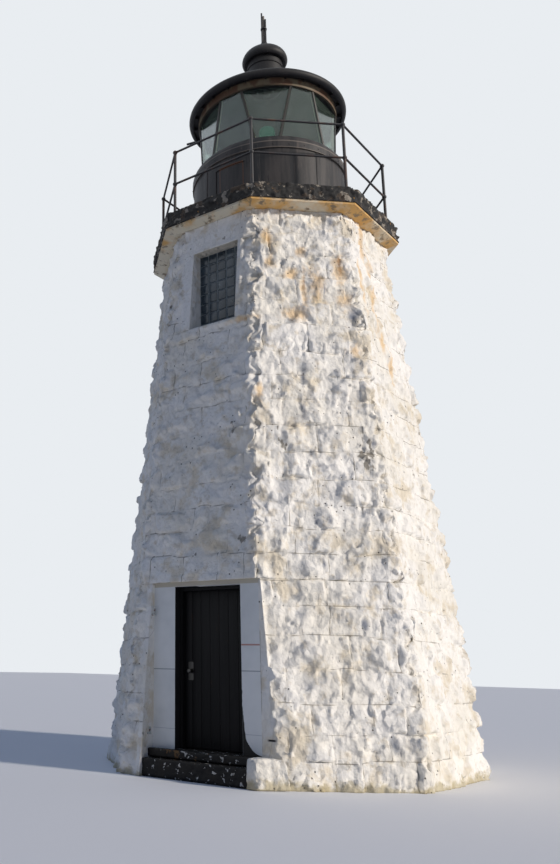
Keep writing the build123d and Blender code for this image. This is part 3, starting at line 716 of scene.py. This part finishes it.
def spots(finish, unrolled, ragged, places):
    """1 inside ragged spots at these places."""
    nearest = FAR
    for bearing, height, wide, tall in places:
        away = finish.vector("SUBTRACT", unrolled, (bearing, height, 0))
        away = finish.vector("LENGTH", finish.vector("DIVIDE", away, (wide, tall, 1)))
        nearest = finish.maths("MINIMUM", nearest, away)
    return finish.without(finish.band(finish.maths("MULTIPLY_ADD", ragged, 2.6, nearest), 1.3, 2.5))


paint = Finish("painted_granite_rock_faced", "#F7F5F0", Roughness=0.8, Specular_IOR_Level=0.3)
depth, joint = [paint.add("ShaderNodeAttribute", attribute_name=label, attribute_type="GEOMETRY")["Fac"]
                for label in ("depth", "joint")]
unrolled = paint.add("ShaderNodeCombineXYZ", {0: paint.bearing(), 1: paint.z})[0]
ragged = paint.noise(80)
paint.lay(paint.patches(420, 0.38, 0.66), "#EFEBE1")
paint.lay(paint.patches(190, 0.52, 0.66, shift=(5, 2, 8)), "#D9CBAF", 0.62)
paint.lay(paint.patches(70, 0.55, 0.68, shift=(1, 6, 3)), "#CEC2AB", 0.5)
# painted shade: the deepest hollows of the rock face are darker
paint.lay(paint.band(depth, 0.050, 0.068), "#C8C0AF", 0.4)
# ochre and rust are stains; the bluish grey spots are painted shadow
for places, colour, strength in ((OCHRE, "#E3B462", 0.58), (RUST, "#9A6430", 0.6), (SHADOW_SPOTS, "#7B8290", 0.9)):
    paint.lay(spots(paint, unrolled, ragged, places), colour, strength)
granite = paint.mix(paint.noise(14, 2.0), "#76746F", "#B3AC9F")
paint.lay(paint.patches(170, 0.685, 0.715, stretch=(1, 1, 0.7), shift=(3, 1, 7)), granite)
open_joint = paint.product(paint.without(paint.band(joint, 0.003, 0.009)),
                        paint.patches(240, 0.44, 0.54, 3.0, shift=(2, 2, 6)), paint.band(depth, 0.001, 0.003))
paint.lay(open_joint, "#7D7466", 0.7)
moss = paint.maths("MULTIPLY_ADD", ragged, 0.35, paint.maths("MULTIPLY", paint.z, -1.0))
paint.lay(paint.band(moss, 0.08, 0.16), "#A3935A", 0.6)
# painted shade: faces that look downwards, such as the window's soffit and the stones' undersides, are darker
facing = paint.add("ShaderNodeSeparateXYZ", {0: paint.add("ShaderNodeNewGeometry")["Normal"]})[2]
paint.lay(paint.band(paint.maths("MULTIPLY", facing, -1.0), 0.6, 0.9), "#B3A88F", 0.6)
pits = paint.add("ShaderNodeTexVoronoi", {"Vector": paint.place, "Scale": 12.0})["Distance"]
pit = paint.product(paint.without(paint.band(pits, 0.07, 0.13)),
                    paint.patches(260, 0.44, 0.56, 2.0, shift=(9, 4, 2)))
paint.lay(pit, "#4A443C", 0.9)
# painted shadow: a dark line where a slot in the stone would be in shade
slot = paint.product(paint.line_at(paint.z, 0.46, 0.010), paint.line_at(paint.x, 0.94, 0.045),
                  paint.line_at(paint.y, -recess_plane, 0.01))
paint.lay(slot, "#1E1C1B")
stroke = paint.add("ShaderNodeMapping", {"Vector": paint.place, "Rotation": (0.4, 0.7, 0.5),
                                         "Scale": (1.0, 1.0, 0.5)})[0]
fine = paint.maths("MULTIPLY", paint.noise(26), 1.3)
fine = paint.maths("MULTIPLY_ADD", paint.flat_chips(stroke, 20.0)[0], 45.0, fine)
painted_granite = paint.end(relief=paint.maths("SUBTRACT", fine, pit), millimetres=12)

# %% [markdown]
# Now the walls are built, one for each CAD node, and each takes its node's place. Six sides
# are whole. The door's side is cut up round the recess and the window, and the next one has a
# foot of its own, because the recess runs out through their corner.

# %% Build the walls
rock = rock_rule("rock_face")
whole = ["right_wall", "back_right_wall", "back_wall", "back_left_wall", "left_wall", "front_left_wall"]
walls = [(name, side, 0, wall_top, None, None, rough, full_depth) for side, name in enumerate(whole)]
walls += [
    ("front_right_wall", 7, recess_head, wall_top, None, None, rough, shallow_by_recess),
    ("front_right_foot", 7, 0, recess_head, foot_left, None, rough, shallow_by_recess),
    ("front_left_pier", 6, 0, recess_head, None, recess_left, front_margins, full_depth),
    ("front_wall", 6, recess_head, window_low.z, None, None, front_margins, shallow_over_recess),
    ("window_pier_left", 6, window_low.z, window_high.z, None, window_low.x, front_margins, full_depth),
    ("window_pier_right", 6, window_low.z, window_high.z, window_high.x, None, front_margins, full_depth),
    ("window_head", 6, window_high.z, wall_top, None, None, front_margins, full_depth),
]
for name, *rest in walls:
    flat_wall = wall_panel("flat_" + name, *rest)
    wall = baked("rocky_" + name, rock, flat_wall, seed=5, finish=painted_granite)
    replace_node(wall, name)

# %% [markdown]
# The gallery deck is a thick slab of the same rough stone under black paint. Its edge is one
# closed ring that the same rule breaks, with shallower relief and smaller stones, and its top
# and underside stay flat.

# %% Deck stone and edge
tarred = Finish("tarred_rough_stone", "#1B1A1A", Roughness=0.72, Specular_IOR_Level=0.35)
tarred.lay(tarred.patches(75, 0.54, 0.6, 5.0), "#43382E")
tarred.lay(tarred.patches(60, 0.56, 0.61, shift=(3, 5, 1)), "#8F877B")
tarred.lay(tarred.patches(50, 0.70, 0.73, shift=(8, 2, 6)), "#A4793E")
deck_stone = tarred.end(relief=tarred.noise(25), millimetres=8)

SIDES, DECK_ROWS, DECK_COLUMNS, DECK_STONES, DECK_MITRE = 8, 14, 84, 5, 0.15
deck_low, deck_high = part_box("gallery_deck")
deck_half = MITRE * deck_high.x
stone_length = 2 * deck_half / DECK_STONES
points, values = [], {label: [] for label in ("stone", "along", "up", "joint", "deepest", "corner", "inward")}
for level in np.linspace(deck_low.z, deck_high.z, DECK_ROWS + 1):
    for side in range(SIDES):
        turn = radians(45 * side)
        for s in np.linspace(-deck_half, deck_half, DECK_COLUMNS + 1)[:-1]:
            points.append((deck_high.x * cos(turn) - s * sin(turn),
                           deck_high.x * sin(turn) + s * cos(turn), level))
            from_end, to_end = s + deck_half, deck_half - s
            bay = int(from_end / (2 * deck_half) * DECK_STONES)
            lean_in = MITRE * (max(0, 1 - to_end / DECK_MITRE) - max(0, 1 - from_end / DECK_MITRE))
            to_joint = abs(from_end - round(from_end / stone_length) * stone_length)
            values["stone"].append(9000 + side * 10 + bay)
            values["along"].append(from_end - (bay + 0.5) * stone_length)
            values["up"].append(level - (deck_low.z + deck_high.z) / 2)
            values["joint"].append(min(level - deck_low.z, deck_high.z - level, 0.03 + to_joint))
            values["deepest"].append(0.014 + 0.5 * (level - deck_low.z))
            values["corner"].append(min(to_end, from_end))
            values["inward"] += [-(cos(turn) - lean_in * sin(turn)), -(sin(turn) + lean_in * cos(turn)), 0]
ring = SIDES * DECK_COLUMNS
faces = [(r * ring + i, r * ring + (i + 1) % ring, (r + 1) * ring + (i + 1) % ring, (r + 1) * ring + i)
         for r in range(DECK_ROWS) for i in range(ring)]
faces += [list(range(ring))[::-1], list(range(DECK_ROWS * ring, (DECK_ROWS + 1) * ring))]
slab = bpy.data.meshes.new("flat_deck")
slab.from_pydata(points, [], faces)
for label, value in values.items():
    store(slab, label, value, vector=label == "inward")
shade(slab, len(faces) - 2)
deck = baked("rough_gallery_deck", rock, slab, relief=0.034, margin_slope=1.6, mortar=0.0, tilt=0.7,
             scoop_depth=0.03, scoop_size=0.06, grain_depth=0.026, grain_size=0.03, seed=9, finish=deck_stone)
replace_node(deck, "gallery_deck")

# %% [markdown]
# The steps and the stone left at the corner of the recess are worn blocks. A copy of the CAD
# solid is rebuilt in small even faces, its arrises are smoothed round, and a rule wears it
# inwards along its own normals, but not where it stands on the ground. The steps carry tar
# paint, which comes off in small pale chips.

# %% Worn blocks
def wear_rule(name):
    """A rule that wears a finely meshed block inwards."""
    rule = Rule(name, least=0.002, depth=0.01, size=0.06)
    given, maths = rule.given, rule.maths
    place = rule.add("GeometryNodeInputPosition")[0]
    pattern = {"Vector": place, "Scale": maths("DIVIDE", 1.0, given["Size"])}
    uneven = rule.add("ShaderNodeTexNoise", {**pattern, "Detail": 4.0})[0]
    cell = rule.add("ShaderNodeTexVoronoi", pattern, feature="F1")["Distance"]
    amount = maths("MULTIPLY_ADD", cell, -0.5, maths("MULTIPLY_ADD", uneven, 1.3, -0.35))
    worn = maths("MULTIPLY_ADD", maths("MAXIMUM", amount, 0.0), given["Depth"], given["Least"])
    shift = rule.scaled(rule.add("GeometryNodeInputNormal")[0], maths("MULTIPLY", worn, -1.0))
    z = rule.add("ShaderNodeSeparateXYZ", {0: place})[2]
    above_ground = rule.add("FunctionNodeCompare", {0: z, 1: 0.004}, operation="GREATER_THAN")[0]
    block = {"Geometry": given["Geometry"], "Selection": above_ground, "Offset": shift}
    return rule.end(rule.add("GeometryNodeSetPosition", block)[0])


def worn_block(name, node, cell, rounding, **settings):
    """The CAD node rebuilt in small faces, rounded, and then worn by the rule."""
    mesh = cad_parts[node].data.copy()
    cut = bmesh.new()
    cut.from_mesh(mesh)
    bmesh.ops.remove_doubles(cut, verts=cut.verts, dist=1e-5)
    cut.to_mesh(mesh)
    cut.free()
    source = new_object(name + "_source", mesh)
    remesh = source.modifiers.new("cells", "REMESH")
    remesh.mode, remesh.voxel_size, remesh.use_smooth_shade = "VOXEL", cell, True
    smooth = source.modifiers.new("rounding", "SMOOTH")
    smooth.iterations, smooth.factor = rounding, 0.5
    fine_mesh = as_built(source)
    bpy.data.objects.remove(source)
    return baked(name, wear, fine_mesh, **settings)


tar = Finish("tarred_granite_step", "#0E0E10", Roughness=0.6, Specular_IOR_Level=0.2)
tar.lay(tar.patches(120, 0.4, 0.65, 3.0), "#1F1C1A")
tar.lay(tar.patches(27, 0.62, 0.65, 3.0, shift=(4, 4, 1)), "#C9C6BE")
tar.lay(tar.patches(90, 0.66, 0.7, shift=(1, 7, 3)), "#6B5236")
tarred_step = tar.end("door_sill", relief=tar.noise(18), millimetres=5)

wear = wear_rule("worn_stone")
for node in ("upper_step", "lower_step"):
    step = worn_block("worn_" + node, node, 0.012, 4, depth=0.016, size=0.07, finish=tarred_step)
    replace_node(step, node)
lump = worn_block("rounded_corner_stone", "corner_stone", 0.011, 50, least=0.002, depth=0.03, size=0.09,
                  finish=painted_granite)
replace_node(lump, "corner_stone")

# %% [markdown]
# The recess is lined with smooth dressed stone under the same white paint. The joints between
# its stones are hairlines, one with a rust stain, and black door paint runs down over the foot
# of the right jamb. All of it is colour, since nothing of it stands proud.

# %% Dressed surround
lining = Finish("painted_dressed_stone", "#EDEEEC", Roughness=0.6, Specular_IOR_Level=0.25)
maths, band, x, y, z = lining.maths, lining.band, lining.x, lining.y, lining.z
lining.lay(lining.patches(300, 0.35, 0.7, 3.0), "#DADCDA")
lining.lay(lining.line_at(z, 1.135, 0.005), "#8F959A", 0.8)
lining.lay(lining.line_at(z, 0.50, 0.003), "#BCC0C2", 0.8)
right_side = band(x, 0.58, 0.6)
lining.lay(lining.product(lining.line_at(z, 1.405, 0.008), right_side), "#B5654A", 0.75)
spread = maths("SUBTRACT", maths("DIVIDE", 0.016, maths("MAXIMUM", maths("SUBTRACT", z, 0.235), 0.02)), 0.024)
jagged = maths("MULTIPLY_ADD", lining.noise(60), 0.05, -0.026)
splash = maths("SUBTRACT", maths("ADD", maths("ADD", spread, jagged), 0.593), x)
lining.lay(lining.product(band(splash, -0.002, 0.002), right_side), "#070709")
doorway_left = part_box("door_jamb_left")[1].x
reveal = lining.product(band(x, doorway_left - 0.003, doorway_left - 0.001),
                     band(y, -recess_plane + 0.002, -recess_plane + 0.005), maths("LESS_THAN", x, 0.0))
lining.lay(reveal, "#17171A")
lining.lay(band(z, recess_head - 0.05, recess_head - 0.045), "#B5A98F", 0.7)
lining.end("door_jamb_left", "door_jamb_right", "door_lintel", relief=lining.noise(45), millimetres=2.5)

# %% [markdown]
# The door is boarded: seven upright boards with softened edges, side by side, on three
# ledges across the back. A line of instances sets the boards out, and a second one the ledges.

# %% Boarded door
def board_rule(name):
    """A rule for boards side by side and ledges across them."""
    rule = Rule(name, boards="Int", ledges="Int", board="Vector", board_start="Vector", board_step="Vector",
                ledge="Vector", ledge_start="Vector", ledge_step="Vector")
    join = rule.tree.nodes.new("GeometryNodeJoinGeometry")
    for piece in ("Board", "Ledge"):
        line = rule.add("GeometryNodeMeshLine", {"Count": rule.given[piece + "s"],
                                                 "Start Location": rule.given[piece + " start"],
                                                 "Offset": rule.given[piece + " step"]})[0]
        cube = rule.add("GeometryNodeMeshCube", {"Size": rule.given[piece]})[0]
        placed = rule.add("GeometryNodeInstanceOnPoints", {"Points": line, "Instance": cube})[0]
        rule.tree.links.new(placed, join.inputs[0])
    return rule.end(join.outputs[0])


def bevelled(made, width, segments=2):
    """Soften every sharp edge of a finished piece, as paint and wear do."""
    bevel = made.modifiers.new("soft edges", "BEVEL")
    bevel.width, bevel.segments, bevel.limit_method, bevel.angle_limit = width, segments, "ANGLE", radians(40)
    made.data = as_built(made)
    made.modifiers.clear()
    made.data.shade_smooth()


boarding = Finish("black_painted_boards", "#08090B", Roughness=0.55, Specular_IOR_Level=0.15)
wood_grain = boarding.noise(30, stretch=(1, 1, 0.06))
boarding.lay(boarding.band(wood_grain, 0.35, 0.7), "#131214")
boarding.lay(boarding.patches(70, 0.66, 0.72, stretch=(1, 1, 0.3), shift=(2, 2, 5)), "#241A15")
black_door = boarding.end("door_frame", relief=wood_grain, millimetres=2)

BOARDS, BOARD_DEPTH, BOARD_GAP = 7, 0.032, 0.0015
LEDGES, LEDGE_DEPTH, LEDGE_HEIGHT, LEDGE_SHORT = 3, 0.0285, 0.16, 0.01
HINGE_HALF = 0.0375
leaf_low, leaf_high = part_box("door_leaf")
leaf_size, leaf_middle = leaf_high - leaf_low, (leaf_low + leaf_high) / 2
board_pitch = leaf_size.x / BOARDS
ledge_bottom, ledge_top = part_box("door_hinges")[0].z + HINGE_HALF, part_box("door_hinges")[1].z - HINGE_HALF
leaf = baked("boarded_door_leaf", board_rule("boards_on_ledges"), body="door", boards=BOARDS, ledges=LEDGES,
             board=(board_pitch - BOARD_GAP, BOARD_DEPTH, leaf_size.z), board_step=(board_pitch, 0, 0),
             board_start=(leaf_low.x + board_pitch / 2, leaf_low.y + BOARD_DEPTH / 2, leaf_middle.z),
             ledge=(leaf_size.x - LEDGE_SHORT, LEDGE_DEPTH, LEDGE_HEIGHT),
             ledge_step=(0, 0, (ledge_top - ledge_bottom) / 2),
             ledge_start=(leaf_middle.x, leaf_high.y - LEDGE_DEPTH / 2, ledge_bottom), finish=black_door)
bevelled(leaf, 0.004)
replace_node(leaf, "door_leaf")

# %% [markdown]
# Glass blocks close the window: pressed glass squares in rows, in dark mortar. A grid of
# instances carries one softened block, a little proud of the mortar slab.

# %% Glass blocks
def block_rule(name):
    """A rule for an upright grid of blocks."""
    rule = Rule(name, across="Int", up="Int", width="Float", height="Float", centre="Vector", block="Vector")
    given = rule.given
    grid = rule.add("GeometryNodeMeshGrid", {"Size X": given["Width"], "Size Y": given["Height"],
                                             "Vertices X": given["Across"], "Vertices Y": given["Up"]})[0]
    grid = rule.moved(grid, Translation=given["Centre"], Rotation=(pi / 2, 0, 0))
    cube = rule.add("GeometryNodeMeshCube", {"Size": given["Block"]})[0]
    return rule.end(rule.add("GeometryNodeInstanceOnPoints", {"Points": grid, "Instance": cube})[0])


pressed = Finish("pressed_glass_block", "#26323B", Roughness=0.22, IOR=1.5)
pressed.lay(pressed.patches(110, 0.35, 0.7, 3.0), "#3E4B54")
# the pale patches are painted highlights on the pressed glass
pressed.lay(pressed.patches(35, 0.64, 0.74, shift=(5, 1, 3)), "#75807F")
block_glass = pressed.end(relief=pressed.noise(60, 2.0), millimetres=8)

ACROSS, UP, GAP, UPRIGHT_GAP, MORTAR_SINK = 5, 8, 0.009, 0.0162, 0.008
window_size = window_high - window_low
one_block = (window_size.x / ACROSS - UPRIGHT_GAP, window_size.y, window_size.z / UP - GAP)
panel = baked("glass_block_panel", block_rule("glass_blocks"), across=ACROSS, up=UP,
              width=window_size.x * (1 - 1 / ACROSS), height=window_size.z * (1 - 1 / UP),
              centre=tuple(window_middle), block=one_block, finish=block_glass)
bevelled(panel, 0.012, 3)
replace_node(panel, "window_glass_blocks")

mortar_mesh = bpy.data.meshes.new("window_mortar")
mortar_mesh.from_pydata([(x, y, z) for z in (window_low.z, window_high.z)
                         for y in (window_low.y + MORTAR_SINK, window_high.y - MORTAR_SINK)
                         for x in (window_low.x, window_high.x)], [],
                        [(0, 2, 3, 1), (4, 5, 7, 6), (0, 1, 5, 4), (2, 6, 7, 3), (0, 4, 6, 2), (1, 3, 7, 5)])
mortar_mesh.materials.append(plain_finish("cement_mortar", Base_Color=linear("#737B7D"), Roughness=0.9))
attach(new_object("window_mortar", mortar_mesh), "tower")

# %% [markdown]
# The ironwork is cast and wrought iron under black paint that has weathered brown and grey.
# Rain has washed long streaks down the drum. The lantern is painted pale inside, so the masks
# tell its inner faces by their distance from the axis and their height.

# %% Iron finishes
RING_BORE, DRUM_BORE = 0.95, 1.08
roof_low, roof_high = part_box("lantern_roof")
head_low, head_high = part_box("lantern_head")
sill_low, sill_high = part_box("lantern_sill")
hatch_low, hatch_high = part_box("gallery_hatch")
HATCH_BEARING, HATCH_HALF = -88.0, 9.7

cast = Finish("weathered_painted_cast_iron", "#1E1E21", Roughness=0.55, Specular_IOR_Level=0.3)
maths, band, product, line_at = cast.maths, cast.band, cast.product, cast.line_at
z, radius = cast.z, cast.radius()
cast.lay(cast.patches(90, 0.42, 0.62, stretch=(1, 1, 0.09)), "#3F3B3A")
cast.lay(cast.patches(60, 0.6, 0.7, stretch=(1, 1, 0.12), shift=(3, 1, 2)), "#4C4542")
cast.lay(cast.patches(35, 0.68, 0.72, stretch=(1, 1, 0.1), shift=(6, 3, 2)), "#17181B")
cast.lay(band(z, 8.24, 8.3), "#0D0C0F", 0.75)
roof_slope = (roof_high.z - roof_low.z) / (roof_high.x - 0.30)
under_roof = maths("MULTIPLY_ADD", maths("SUBTRACT", roof_high.x, radius), roof_slope, roof_low.z - 0.02)
inside = product(band(maths("SUBTRACT", under_roof, z), 0.0, 0.005), band(z, roof_low.z, roof_low.z + 0.004))
for bore, top, blur in ((RING_BORE, 9.3, 0.01), (DRUM_BORE, 8.0, 0.03)):
    within = product(cast.without(band(radius, bore, bore + 0.004)), cast.without(band(z, top, top + blur)))
    inside = maths("MAXIMUM", inside, within)
cast.lay(inside, cast.mix(cast.patches(200, 0.4, 0.7), "#717D76", "#535F59"))
rusty = cast.noise(90, stretch=(1, 1, 0.6), shift=(4, 4, 4))
head_ring = product(line_at(z, (head_low.z + head_high.z) / 2, 0.055), band(radius, 1.0, 1.02),
                 maths("LESS_THAN", radius, head_high.x + 0.004))
# painted light: a pale band round the head ring for its lit face under the eave; the patches over it are rust
cast.lay(head_ring, "#A8977A", 0.5)
cast.lay(product(head_ring, band(rusty, 0.45, 0.58)), "#5E4030", 0.8)
# painted highlight: pale lines along the sill's rim
sill_rim_highlight = maths("MAXIMUM", line_at(z, sill_low.z + 0.004, 0.005), line_at(z, sill_low.z + 0.1, 0.007))
cast.lay(product(sill_rim_highlight, band(radius, 1.1, 1.11)), "#8A8177", 0.6)
putty = product(line_at(z, sill_high.z - 0.008, 0.012), band(rusty, 0.5, 0.54), band(radius, 1.0, 1.02))
cast.lay(putty, "#CFC3A6", 0.9)
beside = maths("DIVIDE", maths("ABSOLUTE", maths("SUBTRACT", cast.bearing(), HATCH_BEARING)), HATCH_HALF)
over = maths("ABSOLUTE", maths("SUBTRACT", z, (hatch_low.z + hatch_high.z) / 2))
over = maths("DIVIDE", over, (hatch_high.z - hatch_low.z) / 2)
frame_line = line_at(maths("MAXIMUM", beside, over), 1.0, 0.035)
cast.lay(product(frame_line, band(radius, 1.08, 1.09)), "#6E4B36", 0.8)
lantern_iron = cast.end("lantern_drum", "gallery_hatch", "lantern_sill", "lantern_head", "lantern_soffit",
                        "lantern_roof", "eave_ring", "soffit_knobs", "ventilator_neck", "ventilator_cap",
                        relief=cast.noise(20), millimetres=2.5)

bars = Finish("painted_glazing_bar", "#D8CDB0", Roughness=0.5)
bars.lay(bars.band(bars.radius(), 0.985, 0.99), "#26231F")
bars.end("glazing_bars")

wrought = Finish("painted_wrought_iron", "#242326", Roughness=0.5, Specular_IOR_Level=0.45)
wrought.lay(wrought.patches(80, 0.5, 0.66, stretch=(1, 1, 0.5)), "#4B342A")
# painted light: the finial's spindle is pale as its sunlit facets look
spindle = wrought.product(wrought.maths("LESS_THAN", wrought.radius(), 0.0175),
                       wrought.maths("GREATER_THAN", wrought.z, 10.7))
wrought.lay(spindle, "#8B8378", 0.8)
wrought.end("door_hinges", "hinge_pintles", "rail_posts", "gallery_rails", "finial", "ventilator_ball",
            "overflow_pipe", relief=wrought.noise(15, 3.0), millimetres=1.5)

flaked = Finish("white_painted_wrought_iron", "#B9BDB9", Roughness=0.6)
flaked.lay(flaked.patches(25, 0.46, 0.56, 3.0), "#5C4234")
flaked.end("recess_pintles")

worn_steel = plain_finish("worn_steel", Base_Color=linear("#4B4A49"), Metallic=1.0, Roughness=0.34)
finish_nodes(worn_steel, "door_handle")

# %% [markdown]
# The small castings of the lantern come in rings: bolt heads round the drum's foot and the
# sill, butt straps over the drum's seams, and ribs on the roof. One rule sets one casting out
# in a ring, turned to face outwards, and another bends a bar into a hoop.

# %% Rings of castings
def ring_rule(name):
    """A rule for one casting repeated in a ring."""
    rule = Rule(name, count="Int", radius="Float", height="Float", start="Float", tilt="Float", size="Vector",
                round="Bool")
    given = rule.given
    circle = rule.add("GeometryNodeMeshCircle", {"Vertices": given["Count"], "Radius": given["Radius"]})[0]
    circle = rule.moved(circle, Translation=rule.along_z(given["Height"]),
                        Rotation=rule.along_z(given["Start"]))
    outwards = rule.vector("MULTIPLY", rule.add("GeometryNodeInputPosition")[0], (1, 1, 0))
    facing = rule.add("FunctionNodeAlignRotationToVector", {"Vector": outwards}, axis="X", pivot_axis="Z")[0]
    cube = rule.add("GeometryNodeMeshCube", {"Size": (1, 1, 1)})[0]
    ball = rule.add("GeometryNodeMeshUVSphere", {"Segments": 8, "Rings": 5, "Radius": 1.0})[0]
    piece = rule.add("GeometryNodeSwitch", {"Switch": given["Round"], "False": cube, "True": ball},
                     input_type="GEOMETRY")[0]
    placed = rule.add("GeometryNodeInstanceOnPoints", {"Points": circle, "Instance": piece,
                                                       "Rotation": facing, "Scale": given["Size"]})[0]
    down = rule.add("ShaderNodeCombineXYZ", {1: given["Tilt"]})[0]
    return rule.end(rule.add("GeometryNodeRotateInstances", {"Instances": placed, "Rotation": down,
                                                             "Local Space": True})[0])


def hoop_rule(name):
    """A rule for a bar bent round in a hoop."""
    rule = Rule(name, radius="Float", height="Float", bar="Float")
    path = rule.add("GeometryNodeCurvePrimitiveCircle", {"Resolution": 72, "Radius": rule.given["Radius"]})[0]
    section = rule.add("GeometryNodeCurvePrimitiveCircle", {"Resolution": 10, "Radius": rule.given["Bar"]})[0]
    hoop = rule.add("GeometryNodeCurveToMesh", {"Curve": path, "Profile Curve": section})[0]
    return rule.end(rule.moved(hoop, Translation=rule.along_z(rule.given["Height"])))


drum_low, drum_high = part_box("lantern_drum")
neck_low, neck_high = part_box("ventilator_neck")
rib_run, rib_rise = roof_high.x - neck_high.x, roof_high.z - roof_low.z
rings, hoops = ring_rule("ring_of_castings"), hoop_rule("hoop")
# name, count, radius, height, start bearing, tilt, size, and whether it is a round bolt head
castings = [
    ("drum_foot_bolts", 40, drum_high.x, drum_low.z + 0.03, 0.0, 0.0, (0.009, 0.013, 0.013), True),
    ("drum_butt_straps", 8, drum_high.x, (drum_low.z + drum_high.z) / 2, radians(22.5), 0.0,
     (0.012, 0.07, drum_high.z - drum_low.z), False),
    ("sill_bolts", 32, sill_high.x, sill_low.z + 0.05, 0.0, 0.0, (0.007, 0.012, 0.012), True),
    ("roof_ribs", 16, (roof_high.x + neck_high.x) / 2, (roof_low.z + roof_high.z) / 2, 0.0,
     float(np.arctan2(rib_rise, rib_run)), (0.96 * sqrt(rib_rise ** 2 + rib_run ** 2), 0.03, 0.03), False),
]
for name, count, ring_radius, height, start, tilt, size, bolt in castings:
    made = baked(name, rings, count=count, radius=ring_radius, height=height, start=start, tilt=tilt,
                 size=size, round=bolt, finish=lantern_iron)
    if not bolt:
        bevelled(made, 0.003)
    print(name, count, "castings,", len(made.data.polygons), "faces")
for name, rise in (("neck_hoop_low", 0.19), ("neck_hoop_high", 0.36)):
    baked(name, hoops, radius=neck_high.x, height=neck_low.z + rise, bar=0.014, finish=lantern_iron)

# %% [markdown]
# Cornice: render or dressed stone painted the same cream and stained with ochre from the deck
# above it; more ochre towards the right is painted warm sunlight on the lit side. Inside lies a
# flagstone floor, and in the lantern a grey post carries a green beacon behind glass that is hazed
# with salt.

# %% Cornice, floor, lamp and glass
cream = Finish("stained_painted_stone", "#DCD2BB", Roughness=0.75)
# painted warm light: the ochre grows towards the right, lit side, over a real ochre stain
warm_light_share = cream.band(cream.maths("MULTIPLY_ADD", cream.y, -0.3, cream.x), 0.2, 1.6)
stain_and_warm_light = cream.maths("MULTIPLY_ADD", warm_light_share, 0.14, cream.noise(240, stretch=(1, 1, 0.4)))
cream.lay(cream.band(stain_and_warm_light, 0.46, 0.68), "#D6A863")
cream.lay(cream.patches(60, 0.54, 0.66, shift=(2, 3, 9)), "#8C7A62")
cream.end("cornice", relief=cream.noise(60, 5.0), millimetres=14)

flags = Finish("worn_flagstone", None, Roughness=0.85)
flags.colour = flags.add("ShaderNodeTexBrick", {
    "Vector": flags.place, "Color1": linear("#77716A"), "Color2": linear("#8A8378"),
    "Mortar": linear("#4F4B46"), "Scale": 1.0, "Mortar Size": 0.008, "Brick Width": 0.7,
    "Row Height": 0.45})["Color"]
flags.lay(flags.patches(90, 0.4, 0.7), "#6A645C")
flags.end("ground_floor", relief=flags.noise(40), millimetres=3)

finish_nodes(plain_finish("grey_painted_steel", Base_Color=linear("#8E908C"), Roughness=0.45), "lamp_post")
green_lens = plain_finish("green_acrylic_lens", Base_Color=linear("#1B8874"), Roughness=0.12, IOR=1.49,
                          Transmission_Weight=0.35, Emission_Color=linear("#1FBF9C"), Emission_Strength=0.12)
finish_nodes(green_lens, "beacon_lamp")
haze = Finish("salt_hazed_plate_glass", "#C6D5CC", Roughness=0.06, IOR=1.5, Specular_IOR_Level=0.3,
              Transmission_Weight=0.94)
haze.lay(haze.patches(350, 0.35, 0.7, 3.0), "#A9BDB2")
haze.end("lantern_panes")

# %% Finish
size = {"cad": [list(v) for v in cad_box], "visual": [list(v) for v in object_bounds()]}
